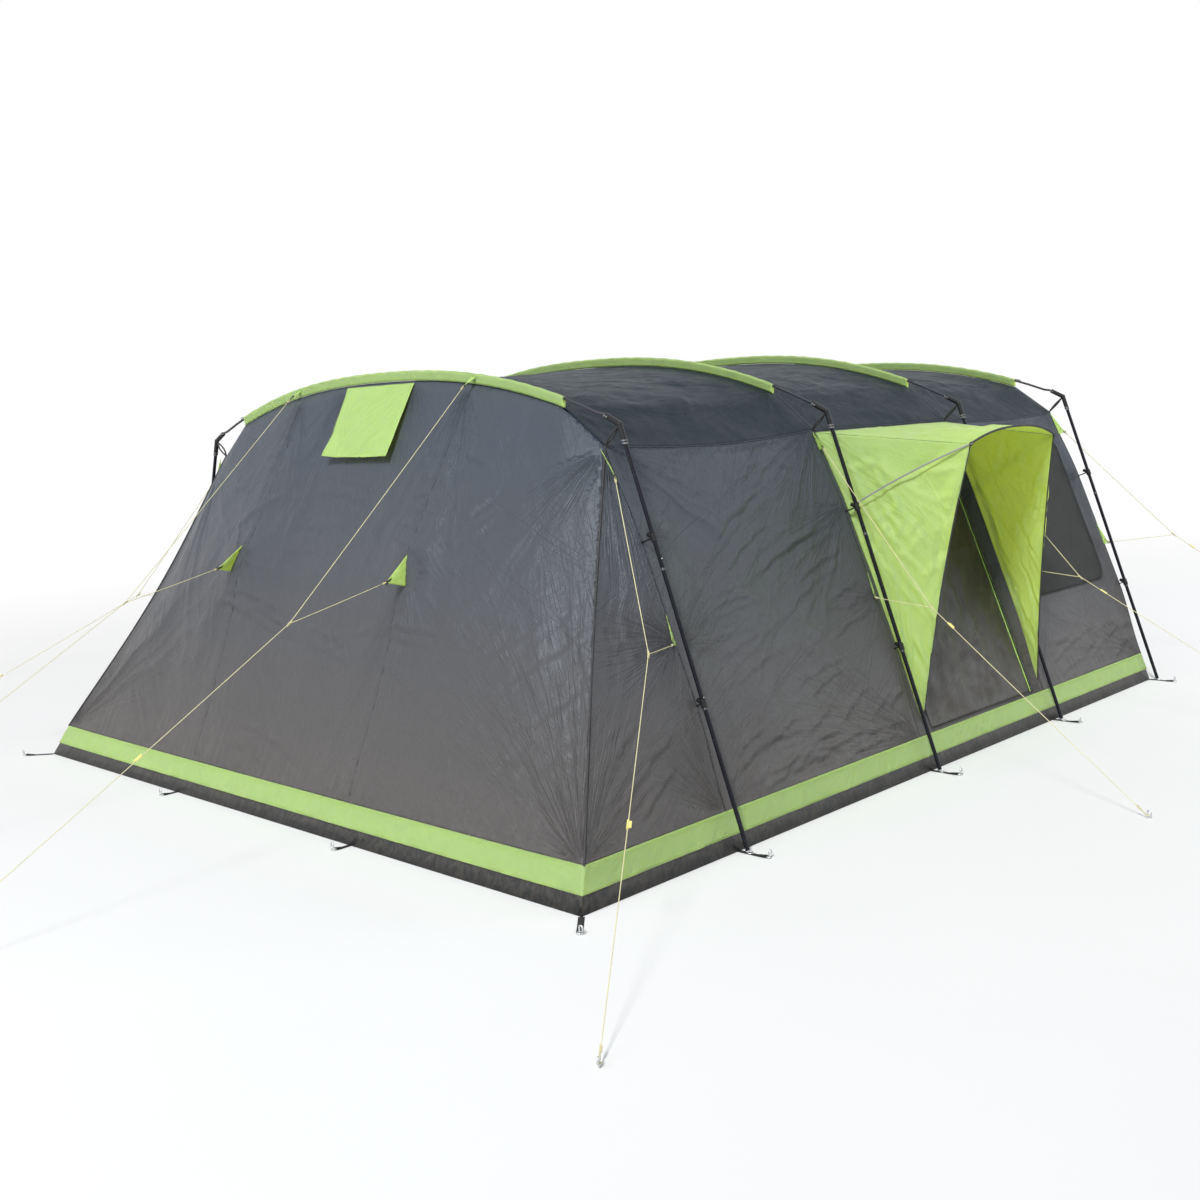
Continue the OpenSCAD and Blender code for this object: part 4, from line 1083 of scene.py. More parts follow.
def end_pulls():
    """Where the tension folds of the slanted wall start."""
    out = []
    for side in (-1, 1):
        at = (side * PULL[0], PULL[1])
        out += [(at, pi / 2, 3.1, 0.14, 8, 0.3), (at, -pi / 2, 0.9, 0.35, 11, 0.25),
                ((side * 1.53, 1.65), -pi / 2 - side * 0.55, 0.7, 0.4, 15, 0.45),
                ((side * 2.1, END_SEAM), pi / 2 + side * 0.7, 0.6, 0.55, 14, 0.9),
                ((side * 0.275, 1.99), -pi / 2 + side * 0.3, 0.8, 0.32, 12, 0.5),
                ((side * PANEL_SEAM_Y, 1.96), -pi / 2, 0.6, 0.36, 10, 0.6)]
    return out


def end_folds(p):
    own = props("cloth")
    y = np.abs(p[..., 0])
    seams = puckers(p, (-2.1, END_SEAM), (2.1, END_SEAM), 0.11, 0.085, 5)
    for seam in (-PANEL_SEAM_Y, PANEL_SEAM_Y):
        seams = seams + 0.6 * puckers(p, (seam, END_SEAM), (seam, 1.95), 0.06, 0.06, 6 if seam < 0 else 8)
    flat = smooth(np.hypot(np.maximum(y - 0.29, 0), np.maximum(1.6 - p[..., 1], 0)) / 0.12)
    wide = (12, 15)
    lines = [*bundles(END_CREASES),
             *strewn(5, 24, (-2.0, 0.2, -1.2, 1.0), 2.4, 0.2, (0.2, 0.6), (1.5, 4.0), wide),
             *strewn(6, 24, (-1.0, 1.1, 1.0, 1.7), 0.1, 0.4, (0.12, 0.5), (1.5, 4.5), wide),
             *strewn(7, 16, (0.2, 0.2, 1.6, 0.9), 0.8, 0.4, (0.15, 0.5), (1.5, 4.0), wide),
             *strewn(8, 10, (1.2, 0.2, 2.0, 0.8), 0.75, 0.2, (0.15, 0.5), (2, 4.5), wide)]
    loose = own.swell * waves(p, 0.7, 41) + own.folds * fans(p, end_pulls(), 3) + 0.0036 * seams
    loose = loose - 0.003 * ridge(y - PANEL_SEAM_Y, 0.006) + creased(p, lines)
    return own.pull * pulled(p) + loose * flat - 0.004 * (1 - flat)


def panel_seams(top):
    return [((y, END_SEAM + 0.02), (y, top)) for y in (-PANEL_SEAM_Y, PANEL_SEAM_Y)]


def end_part(step):
    foot, head = vec(wall_y(END_SEAM), END_SEAM + 0.0005), vec(SHOULDER_Y, SHOULDER_Z - 0.003)
    right = lerp(foot, head, column(9))
    y = np.linspace(SHOULDER_Y, -SHOULDER_Y, 61)[1:-1]
    top = np.stack([y, cloth_z(y, APEX[0]) - 0.003], -1)
    outline = np.concatenate([right, top, (right * [-1, 1])[::-1]])
    half, low, high = VENT
    vent = np.array([(-half, low), (half, low), (half, high), (-half, high)])
    return cut(outline, [vent], step, end_place, (-1, 0, 0.4), end_folds, panel_seams(1.94), end_pulls(),
               lambda p, co: corner_shift(co))


def on_end(p, height):
    """Points of the slanted wall at places p, raised off it by a height."""
    co, normal = surface(end_place, p)
    return co + (-normal if normal[..., 0].mean() > 0 else normal) * height[:, None]


def end_surface(y, z):
    """Point of the drawn-out slanted wall at y, z."""
    p = vec([y, z])
    return on_end(p, end_folds(p))[0]


def roof_part(i):
    x0, x1 = ARCH_X[i] + (0 if i == 0 else 0.0005), ARCH_X[i + 1] - (0 if i == 2 else 0.0005)
    own = props("cloth")
    wide, tall = BAY[i], 3.29

    def place(u, v):
        y = (2 * v - 1) * SHOULDER_Y
        z = lerp(cloth_z(y, APEX[i]), cloth_z(y, APEX[i + 1]), u)
        z = z - ROOF_SAG * hump(u) * (1 - (y / SHOULDER_Y) ** 2)
        dip = SEAM_SAG[i] * hump(u) * smooth((np.abs(y) - 1.1) / (SHOULDER_Y - 1.1))
        return stack(x0 + (x1 - x0) * u, y + np.sign(y) * dip * sin(LEAN), z - dip * cos(LEAN))

    near = tall * (1 - SLEEVE_Y / SHOULDER_Y) / 2 * 1.12
    pulls = [((x, y), aim + turn * way, 0.8, 0.32, 13, 0.9)
             for x, aim, way in ((0, 0.0, 1), (wide, pi, -1))
             for y, turn in ((near, 0.35), (tall - near, -0.35))]
    box = (0.05, 0.05, wide - 0.05, tall - 0.05)
    lines = strewn(70 + i, 110, box, 0.0, 0.7, (0.12, 0.5), (1.2, 3.6), (14, 18))
    seams = [((0, 0.2), (0, tall - 0.2), 0.07, 0.09, i),
             ((wide, 0.2), (wide, tall - 0.2), 0.07, 0.09, i + 3),
             ((0, 0), (wide, 0), 0.06, 0.055, i + 5), ((0, tall), (wide, tall), 0.06, 0.055, i + 8)]

    def lift(p, u, v):
        loose = 0.8 * own.swell * waves(p, 0.75, 60 + i) + 0.45 * own.folds * fans(p, pulls, 50 + 7 * i)
        loose = loose + 0.0034 * sum(puckers(p, *seam) for seam in seams) + creased(p, lines)
        return ends(u, 0.05 / wide) * ends(v, 0.05 / tall) * loose

    return grid(place, 80, 180, (0, 0, 1), lift, pulls)


def sleeve_part(i):
    """Cloth strip over a roof pole: round over the pole and stitched flat below it."""
    r = 0.0093
    turn = np.radians(np.linspace(-105, 105, 9))
    shift = np.random.default_rng(i).uniform(0, 6.28, 4)

    def place(u, v):
        y = (2 * u - 1) * (SLEEVE_Y - 0.004)
        e, k = 1e-3, v * 16
        d = unit(stack(0, 2 * e, pole_z(y + e, APEX[i]) - pole_z(y - e, APEX[i])))
        a = np.interp(k, np.arange(4, 13), turn)
        top = stack(0, y, pole_z(y, APEX[i])) + stack(0, -d[..., 2], d[..., 1]) * (r * np.cos(a))[..., None]
        top = top + stack(r * np.sin(a), 0, 0)
        low = np.clip(np.maximum(4 - k, k - 12) / 4, 0, 1)
        base = stack(np.sign(v - 0.5) * 0.0028, y, cloth_z(y, APEX[i]) + 0.0012)
        co = lerp(top, base, low[..., None])
        wave = 0.0018 * np.sin(y * 38 + shift[0]) + 0.0013 * np.sin(y * 87 + shift[1])
        wave = wave + 0.0009 * np.sin(y * 151 + shift[2] + 3 * low)
        co[..., 0] += ARCH_X[i] + smooth(low / 0.8) * (1 - 0.6 * low) * wave + 0.0006 * np.sin(y * 210 + k)
        co[..., 2] += 0.0009 * np.sin(y * 64 + shift[3]) * (1 - low)
        return co

    return grid(place, 200, 16, (0, 0, 1))


def gusset_part(side):
    x = ARCH_X[0]
    low, tip = vec(corner_x(BAND_TOP) + 0.001, BAND_TOP), vec(x - 0.0022, WALL_L - 0.004)
    outline = np.concatenate([[(x - 0.0003, BAND_TOP), (x - 0.0003, WALL_L - 0.003)],
                              lerp(tip, low, column(12))])
    own = props("cloth")
    pulls = [((x, NEAR_LINES[0][3][2] / cos(LEAN)), pi, 1.5, 0.2, 8, 0.9),
             ((x, WALL_L), -pi / 2 - 0.2, 0.3, 0.5, 26, 0.8),
             (tuple(low), 0.9, 0.6, 0.3, 13, 0.8), ((x, BAND_TOP), pi - 1.0, 0.6, 0.27, 11, 0.8)]
    creases = bundles(GUSSET_CREASES)

    def lift(p):
        drawn = own.swell * 0.7 * waves(p, 0.4, 70 + side) + 0.6 * own.folds * fans(p, pulls, 3)
        return drawn + creased(p, creases) + 0.003 * puckers(p, low, (x, BAND_TOP), 0.1, 0.07, 2)

    return cut(outline, [], 0.011, lambda p: on_wall(*p.T, side), (0, side, 0.3), lift, (), pulls,
               lambda p, co: drawn_out(side, *p.T) + corner_shift(co, True))


def front_part(step):
    foot = wall_y(END_SEAM) - 0.002
    y = np.linspace(SHOULDER_Y - 0.002, -SHOULDER_Y + 0.002, 61)
    top = np.stack([y, cloth_z(y, APEX[3]) - 0.003], -1)
    outline = np.concatenate([[(-foot, END_SEAM), (foot, END_SEAM)], top])
    own = props("cloth")
    kind = (0.35, (0.15, 0.5), (0.8, 3.0), (12, 16))
    lines = [*strewn(21, 60, (-1.9, 0.25, 1.9, 1.7), 0.6, *kind),
             *strewn(22, 40, (-1.9, 0.25, 1.9, 1.2), -0.6, *kind)]

    def lift(p):
        f = 0
        for s in (-1, 1):
            f = f + fans(p, [((s * 1.5, 1.66), -pi / 2 - s * 0.6, 0.7, 0.35, 15, 1),
                             ((s * 2.1, END_SEAM), pi / 2 + s * 0.8, 0.6, 0.3, 12, 0.8),
                             ((s * PANEL_SEAM_Y, 1.95), -pi / 2, 0.6, 0.3, 10, 0.6)], 31 + s, 3)
        seams = 0.003 * puckers(p, (-2.1, END_SEAM), (2.1, END_SEAM), 0.1, 0.08, 6)
        seams = seams - 0.0025 * ridge(np.abs(p[..., 0]) - PANEL_SEAM_Y, 0.006)
        return 0.6 * own.swell * waves(p, 0.7, 81) + 0.5 * own.folds * f + seams - 0.004 + creased(p, lines)

    return cut(outline, [], step, lambda p: stack(2.4996, *p.T), (1, 0, 0), lift, panel_seams(1.92))


def band_lift(wide, long, seed, count, turn, soft, fine):
    """Slack of the coloured band, which is free along its lower edge."""
    lines = strewn(seed, count, (0, 0, long, 0.1), turn, 0.35, (0.04, 0.16), (0.8, 2.6), (6, 9))

    def lift(p, u, v):
        loose = creased(p, lines) * (1 - v) + soft[0] * waves(p, *soft[1:]) * (1 - v)
        loose = loose + fine[0] * waves(p, *fine[1:]) * (1 - 0.5 * v) + 0.0022 * (1 - v)
        return ends(u, 0.04 / wide) * loose.clip(-0.0008)

    return lift


def band_parts():
    out = []
    for side in (-1, 1):

        def place(u, v, side=side):
            s = BAND_LOW + (BAND_TOP + 0.002 - BAND_LOW) * v
            a = corner_x(s) - 0.0008
            return on_wall(a + (ARCH_X[3] + 0.002 - a) * u, s, side, 0.0012)

        lift = band_lift(5, 5, 31 - side, 90, 0.5, (0.0036, 0.28, 90), (0.0022, 0.09, 91))
        out.append(grid(place, 520, 9, (0, side, 0.3), lift))
    low = BAND_LOW * cos(LEAN)

    def end(u, v):
        z = low + (END_SEAM + 0.002 - low) * v
        y = (2 * u - 1) * (wall_y(z) + 0.0004)
        return stack(end_x(y, z) - 0.0014, y, z)

    def front(u, v):
        z = low + (END_SEAM + 0.002 - low) * v
        return stack(ARCH_X[3] + 0.002, (2 * u - 1) * (wall_y(z) + 0.001), z)

    lift = band_lift(4, 4.3, 35, 80, 2.6, (0.0040, 0.3, 93), (0.0024, 0.09, 94))
    return [*out, grid(end, 440, 9, (-1, 0, 0.4), lift), grid(front, 290, 6, (1, 0, 0), lift)]


def ground_part():
    """Groundsheet with its rim turned up inside the walls."""
    n, m, inner = 60, 54, 0.0042

    def rim(u, v, k):
        return (u < k / n) | (u > 1 - k / n) | (v < k / m) | (v > 1 - k / m)

    def place(u, v):
        edge = rim(u, v, 0.5)
        z = np.where(edge, 0.109, 0.0014)
        x0 = END_X + inner + z * OVERHANG / SHOULDER_Z
        y1 = wall_y(z) - inner
        a, b = (np.clip((t - 1 / k) / (1 - 2 / k), 0, 1) for t, k in ((u, n), (v, m)))
        x, y = x0 + (ARCH_X[3] - inner - x0) * a, -y1 + 2 * y1 * b
        soft = smooth(np.minimum(np.minimum(a, 1 - a) * 5, np.minimum(b, 1 - b) * 4) / 0.2)
        uneven = np.maximum(0, 1 + 0.7 * waves(np.stack([x, y], -1), 0.5, 99))
        return stack(x, y, z + np.where(edge, 0, soft * np.where(x > -0.2, 0.0022, 0.0003) * uneven))

    return grid(place, n, m, (0, 0, 1))


def porch_front(u):
    return stack(0.155 + 0.85 * u, -2.29 - 0.08 * u * (1 - u), 1.57 + 0.065 * (1 - np.abs(2 * u - 1) ** 2.4))


def porch_back(u):
    return stack(lerp(*PORCH_X, u), -wall_y(PORCH_Z) - 0.0012, PORCH_Z)


def porch_top_part():
    def place(u, v):
        co = lerp(porch_back(u), porch_front(u), v[..., None])
        co[..., 2] -= PORCH_SAG * hump(u) * hump(v)
        return co

    lines = strewn(47, 40, (0.05, 0.05, 1.1, 0.7), 1.2, 0.6, (0.1, 0.4), (1.5, 4.5), (13, 17))

    def lift(p, u, v):
        x, y = p[..., 0].max(), p[..., 1].max()
        f = fans(p, [((0.2, y), -pi / 2 + 0.5, 0.9, 0.25, 12, 1),
                     ((x - 0.2, y), -pi / 2 - 0.5, 0.9, 0.25, 12, 1),
                     ((0, 0), 0.7, 0.7, 0.3, 12, 0.7), ((x, 0), pi - 0.7, 0.7, 0.3, 12, 0.7)], 3)
        loose = 0.0045 * waves(p, 0.4, 7) + 0.006 * f + 0.0016 * puckers(p, (0, 0), (1.2, 0), 0.06, 0.05, 1)
        loose = loose - 0.0012 * ridge(p[..., 1] - (y - 0.022), 0.004) + creased(p, lines)
        return ends(u, 0.03 / 1.1) * smooth(v * 0.7 / 0.03) * loose

    return grid(place, 100, 60, (0, 0, 1), lift)


def cheek_edges(side):
    """Corners of a porch cheek: at the wall above and below, and the front corner."""
    under = 0.0026
    z, (lows, low) = PORCH_Z - under, CHEEK_LOW
    a = vec(PORCH_X[side], -wall_y(z) - 0.0006, z)
    b = vec(lows[side], -wall_y(low) - 0.0006, low)
    return a, b, porch_front(float(side)) - [0, 0, under]


def cheek_free_edge(side, v):
    a, b, c = cheek_edges(side)
    inward = unit((a + b) / 2 - (b + c) / 2)
    return lerp(c, b, v[..., None]) + inward * (0.022 * hump(v))[..., None]


def cheek_part(side):
    a, b, _ = cheek_edges(side)

    def place(u, v):
        w = lerp(a, b, v[..., None])
        w = w + drawn_out(-1, w[..., 0], w[..., 2] / cos(LEAN))
        return lerp(w, cheek_free_edge(side, v), u[..., None])

    lines = [*strewn(41 + side, 26, (0.05, 0.05, 0.6, 0.6), -0.7, 0.4, (0.1, 0.4), (2.0, 5.0), (12, 15)),
             *strewn(43 + side, 16, (0.03, 0.3, 0.3, 1.2), 1.35, 0.15, (0.2, 0.6), (2.5, 7.0), (12, 16))]

    def lift(p, u, v):
        q = np.stack([u * (1 - v) * 0.72, v * 1.4], -1)
        f = fans(q, [((0.72, 0.0), pi / 2 + 0.35, 0.55, 0.45, 26, 1),
                     ((0.0, 1.4), -pi / 2 + 0.22, 0.3, 0.5, 44, 0.9)], 11 + side, 2)
        f = f + 0.6 * fan(q, (0.0, 0.0), 0.6, 0.6, 0.3, 14, 15)
        loose = 0.006 * waves(q, 0.34, 17 + side) + 0.006 * f + creased(q, lines)
        return smooth(u * (1 - v) * 0.7 / 0.03) * smooth(v / 0.04) * loose

    return grid(place, 62, 130, (2 * side - 1, 0, 0), lift)


def door_outline():
    """Outline of the side door: the doorway's, less the strip beyond the zip."""
    x0, x1, s0, s1, r = DOOR
    inset = 0.0005
    x0, x1, s0, s1 = x0 + inset, x1 - inset, s0 + inset, s1 - inset
    top = s1 - r + sqrt(r * r - (EDGE_X - (x1 - r)) ** 2)
    arc = [q for q in rounded(x0, x1, s0, s1, r, low=False) if q[0] < EDGE_X and q[1] > s0 + 0.01]
    return np.array([(x0, s0), (EDGE_X, s0), (EDGE_X, top), *arc])


def door_head(p):
    """Share by which the door's head hangs inside the doorway, so that it clears the wall when drawn."""
    return smooth((p[..., 1] - 1.33) / 0.12) * (1 - smooth((p[..., 0] - 0.6) / 0.2))


def side_door_part():
    x0, _, s0, s1, _ = DOOR
    pulls = [((ZIP_X, s1 - 0.1), -pi / 2 - 0.4, 0.7, 0.45, 15, 1),
             ((x0, s1 - 0.1), -pi / 2 + 0.5, 0.7, 0.4, 13, 1),
             ((ZIP_X, s0), pi - 0.9, 0.8, 0.35, 11, 1), ((x0, s0), 0.9, 0.7, 0.3, 11, 1)]
    lines = strewn(55, 46, (0.1, 0.25, 1.05, 1.5), 0.9, 0.5, (0.15, 0.6), (4.0, 10.0), (17, 22))

    def place(p):
        back = 0.0012 + 0.009 * door_head(p) + 0.0035 * (1 - smooth((p[..., 0] - x0 - 0.05) / 0.25))
        return on_wall(*p.T, -1, -back)

    def lift(p):
        x, s = p[..., 0] - x0, p[..., 1] - s0
        hang = 0.005 * np.sin(x * 21 + 0.9 * np.sin(s * 3.1)) * (0.4 + 0.6 * smooth(s))
        hang = hang + 0.003 * np.sin(x * 47 + 1.7 * np.sin(s * 4.3 + 1))
        loose = hang + 0.006 * waves(p, 0.33, 65) + 0.007 * fans(p, pulls, 61) + creased(p, lines)
        loose = -0.008 + 0.8 * loose
        return loose - door_head(p) * np.maximum(loose, 0)

    return cut(door_outline(), [], 0.017, place, (0, -1, 0.3), lift)


def hood_frame():
    """Point on the vent hood's hinge, and the ways down the hood and off it."""
    a = atan2(OVERHANG, float(cloth_z(0.0, APEX[0]))) + radians(5.5)
    return vec(*HINGE), vec(-sin(a), 0, -cos(a)), vec(-cos(a), 0, sin(a))


def hood_part():
    hinge, down, out = hood_frame()

    def place(u, v):
        y = (2 * u - 1) * 0.2745 - 0.042 * v * smooth((u - 0.4) / 0.6)
        return hinge + down * (0.0005 + 0.399 * v)[..., None] + stack(0, y, 0) + out * 0.0018

    lines = strewn(51, 16, (0.03, 0.05, 0.5, 0.36), 1.1, 0.5, (0.08, 0.25), (1.5, 3.5), (8, 11))

    def lift(p, u, v):
        curl = 0.024 * smooth((v - 0.62) / 0.38) * smooth((u - 0.72) / 0.28)
        curl = curl + 0.008 * smooth((v - 0.7) / 0.3) * smooth((0.2 - u) / 0.2)
        drape = 0.0035 * np.sin(u * 13 + 0.6 * np.sin(v * 4)) * v
        f = fans(p, [((0, 0), 0.8, 0.8, 0.2, 11, 1), ((p[..., 0].max(), 0), pi - 0.8, 0.8, 0.2, 11, 1)], 1)
        hem = ridge(v - 0.945, 0.012) + ridge(u - 0.035, 0.008) + ridge(u - 0.965, 0.008)
        loose = 0.002 * waves(p, 0.2, 5) + creased(p, lines)
        return curl + drape + 0.003 * f * smooth(v / 0.1) - 0.0008 * hem + loose * smooth(v / 0.15)

    return grid(place, 56, 40, (-1, 0, 0.5), lift)


# ---- Operators ----


class TENT_OT_stage(bpy.types.Operator):
    """Add the camera, the soft studio light and the pale floor"""

    bl_idname = "tent.stage"
    bl_label = "Stage"

    def execute(self, context):
        own = props("stage")
        self.camera(context.scene, own.lens)
        self.sky(context.scene, own.sky)
        ahead = Vector((0.66, 0.28, -0.69))
        self.light("Key light", "SUN", (0, 0, 0), ahead, energy=own.sun, angle=radians(11))
        boxes = (((6.2, -6.4, 4.0), 4.5, own.box), ((-7.5, -1.0, 4.5), 4.0, own.box * 0.9))
        for n, (place, wide, power) in enumerate(boxes, 1):
            ahead = Vector((0, 0, 0.8)) - Vector(place)
            self.light(f"Soft box {n}", "AREA", place, ahead, energy=power, size=wide,
                       color=(0.80, 0.91, 1.0))
        self.floor()
        return {"FINISHED"}

    def camera(self, scene, lens):
        yaw, pitch, roll = radians(44.60), radians(-7.80), radians(-2.963)
        ahead = Vector((cos(pitch) * cos(yaw), cos(pitch) * sin(yaw), sin(pitch)))
        level = ahead.cross(Vector((0, 0, 1))).normalized()
        above = level.cross(ahead)
        right, up = cos(roll) * level + sin(roll) * above, -sin(roll) * level + cos(roll) * above
        data = bpy.data.cameras.new("Camera")
        data.sensor_width, data.lens, data.clip_end = 36, lens, 200
        camera = add_object("Camera", data)
        columns = (right, up, -ahead, Vector((-5.802, -5.634, 1.8135)))
        camera.matrix_world = Matrix([[*(c[k] for c in columns)] for k in range(3)] + [[0, 0, 0, 1]])
        scene.camera = camera
        scene.view_settings.view_transform = "Standard"

    def sky(self, scene, strength):
        """White to the camera and in reflections, and a soft fill elsewhere."""
        scene.world = world = bpy.data.worlds.new("World")
        world.use_nodes = True
        tree = world.node_tree
        back = tree.nodes["Background"].inputs
        rays = tree.nodes.new("ShaderNodeLightPath").outputs
        seen = maths(tree, "MAXIMUM", rays["Is Camera Ray"], rays["Is Glossy Ray"])
        seen = maths(tree, "MAXIMUM", seen, rays["Is Transmission Ray"])
        feed(tree, back["Strength"], ramp(tree, seen, 0.0, 1.0, strength, 1.0))
        back["Color"].default_value = (1, 1, 1, 1)

    def light(self, name, kind, place, ahead, **settings):
        data = bpy.data.lights.new(name, kind)
        for key, value in settings.items():
            setattr(data, key, value)
        lamp = add_object(name, data)
        lamp.location = place
        lamp.rotation_euler = ahead.to_track_quat("-Z", "Y").to_euler()

    def floor(self):
        mesh = bpy.data.meshes.new("Floor")
        corners = [(x * 60, y * 60, -0.0005) for x, y in ((-1, -1), (1, -1), (1, 1), (-1, 1))]
        mesh.from_pydata(corners, [], [(0, 1, 2, 3)])
        mat = bpy.data.materials.new("Floor")
        mat.use_nodes = True
        tree = mat.node_tree
        bsdf = tree.nodes["Principled BSDF"]
        bsdf.inputs["Roughness"].default_value = 0.85
        place = put(tree, "ShaderNodeTexCoord", out="Object")
        pale = tint(tree, noise(tree, place, 0.8, 4.0), (0.80, 0.80, 0.80, 1), (0.83, 0.83, 0.83, 1))
        feed(tree, bsdf.inputs["Base Color"], pale)
        far_off = put(tree, "ShaderNodeVectorMath", {0: place}, "Value", operation="LENGTH")
        glow = put(tree, "ShaderNodeEmission", {"Color": (1, 1, 1, 1), "Strength": 1.0})
        mix = put(tree, "ShaderNodeMixShader",
                  {0: ramp(tree, far_off, 5.5, 11.0), 1: bsdf.outputs[0], 2: glow})
        feed(tree, tree.nodes["Material Output"].inputs["Surface"], mix)
        mesh.materials.append(mat)
        add_object("Floor", mesh)


def knot(at, d, turns, size):
    """Wraps of a line round itself, for a knot that runs along d."""
    side = unit(np.cross(d, [0.3, 0.2, 1]))
    up = np.cross(side, d)
    t = column(turns * 12 + 1)
    w = 2 * pi * turns * t
    coil = at + d * (t - 0.5) * size + (side * np.cos(w) + up * np.sin(w)) * (GUY_D * 0.98)
    loose = side * np.sin(w * 0.5 + 1) + up * np.cos(w * 0.33)
    bight = at + d * (t - 0.5) * size * 1.5 + loose * GUY_D * 0.7
    return [tube_part(path, GUY_D / 2 * 0.92, 7) for path in (coil, bight)]


def peg_eye(peg, b, flat):
    """Loop of a line round its peg, whose line comes along b and lies along flat on the ground."""
    t = column(17, 0.35, 2 * pi - 0.35)
    centre = vec(*peg[:2], 0) + flat * 0.0042
    across = np.cross([0, 0, 1.0], flat)
    loop = centre - flat * np.cos(t) * 0.0058 + across * np.sin(t) * 0.0058 + [0, 0, 0.0135]
    loop = np.concatenate([[peg - b * 0.03 + [0, 0, 0.002]], loop, [peg - b * 0.034 + [0, 0, 0.0035]]])
    return tube_part(loop, GUY_D / 2 * 0.95, 7)


class TENT_OT_lines(bpy.types.Operator):
    """Add the seven guy lines with their branches, knots and runners"""

    bl_idname = "tent.lines"
    bl_label = "Guy lines"

    def execute(self, context):
        own = props("lines")
        for n, line in enumerate(GUYS, 1):
            high, joint, peg, low = (np.array(v) for v in line)
            a, b, c = unit(joint - high), unit(peg - joint), unit(joint - low)
            upper = strand([high, joint - a * 0.014], 0.08, own.sag)
            path = np.concatenate([upper, strand([joint, joint + b * 0.014, peg], 0.08, own.sag)])
            branch_path = strand([low, joint - [0, 0, GUY_D / 2]], 0.05, own.sag)
            flat = unit(vec(*(peg - joint)[:2], 0))
            made = [
                (f"guy_line_{n}_main", [tube_part(path, GUY_D / 2, own.sides)]),
                (f"guy_knot_{n}_peg", [peg_eye(peg, b, flat)] + knot(peg - b * 0.042, b, 4, 0.022)),
                (f"guy_knot_{n}_joint", knot(joint, unit(a + b), 5, 0.026)),
                (f"guy_knot_{n}_top", knot(high + a * 0.014, a, 4, 0.02)),
                (f"guy_line_{n}_branch", [tube_part(branch_path, GUY_D / 2, own.sides)]),
                (f"guy_knot_{n}_branch", knot(low + c * 0.012, c, 3, 0.016)),
            ]
            main, eye, tie, cap, branch, foot = (
                hard(name, parts, "Guy cord") for name, parts in made)
            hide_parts(f"guy_line_{n}")
            long, short = (float(travel(p)[-1]) for p in (path, branch_path))
            paint("Runner plastic", f"guy_runner_{n}")
        return {"FINISHED"}


class TENT_OT_poles(bpy.types.Operator):
    """Finish the poles, elbows and clips, and add their joints and ties"""

    bl_idname = "tent.poles"
    bl_label = "Poles"

    def execute(self, context):
        for i in range(1, 5):
            paint("Roof pole finish", f"roof_pole_{i}")
            paint("Leg enamel", f"legs_{i}")
        paint("Black plastic", "pole_elbows", "pole_clips", "cabin_hangers")
        paint("Zinc-plated steel", "foot_pins")
        leg, e = unit([0, ELBOW_Y - FOOT_Y, -ELBOW_Z]), 0.0005
        roof = unit([0, 1, float(pole_z(ELBOW_Y - e, 2.1) - pole_z(ELBOW_Y + e, 2.1)) / (2 * e)])
        away, inner = unit(np.cross(leg, [1.0, 0, 0])), unit([0, 0.92, 0.38])
        top, sag = 0.0403, column(16)
        total = hypot(FOOT_Y - ELBOW_Y, ELBOW_Z) - top - 0.012
        joints, caps, buttons, ties, clips = [], [], [], [], []
        for x in ARCH_X:
            corner = vec(x, -ELBOW_Y, ELBOW_Z)
            for side in (1, -1):
                m = vec(1, side, 1)

                def pin(at, way, *offs):
                    """Points off a place on the leg, on the side that is made."""
                    return [(at + way * off) * m for off in offs]

                for k in (1, 2):
                    at = corner + leg * (top + total * k / 3)
                    joints.append(pin(at, leg, -0.002, 0.002))
                    knob = pin(at - leg * 0.045, away, 0.0085, 0.0112, 0.0118)
                    buttons.append(tube_part(knob, 0.0028, 12))
                caps += [pin(corner, way, 0.073, 0.085) for way in (roof, leg)]
                a, b = corner + unit([0, 1, -1]) * 0.0155, vec(x, -SHOULDER_Y - 0.001, SHOULDER_Z + 0.001)
                bow = vec(0.015, 0, 0) * np.sin(pi * sag) * (1 - 0.3 * sag)
                ties += [(lerp(a, b, sag) + bow) * m, (lerp(a, b, sag) - bow) * m]
                for z in CLIP_Z:
                    at = corner + leg * (ELBOW_Z - z) / -leg[2]
                    clips.append(tube_part(pin(at, leg, 0.017, 0.0150, -0.0150, -0.017), 0.0138, 14))
                    clips.append(tube_part(pin(at, inner, 0.008, 0.020, 0.034), 0.0095, 10))
        hard("leg_clips", clips, "Black plastic")
        collar = dict(Radius=0.0102, Length=0.012, Sides=20)
        cap = dict(Radius=0.0131, Length=0.007, Sides=22)
        follow("leg_joint_collars", "Collars", joints, "Joint collar", "leg_tube", **collar)
        follow("elbow_caps", "Collars", caps, "Elbow cap", "black_plastic", **cap)
        hard("leg_buttons", buttons, "Zinc-plated steel")
        obj = follow("elbow_tie_cords", "Piping", ties, "Dark binding", "cord", Radius=0.0046, Sides=8)
        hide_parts("elbow_ties")
        return {"FINISHED"}


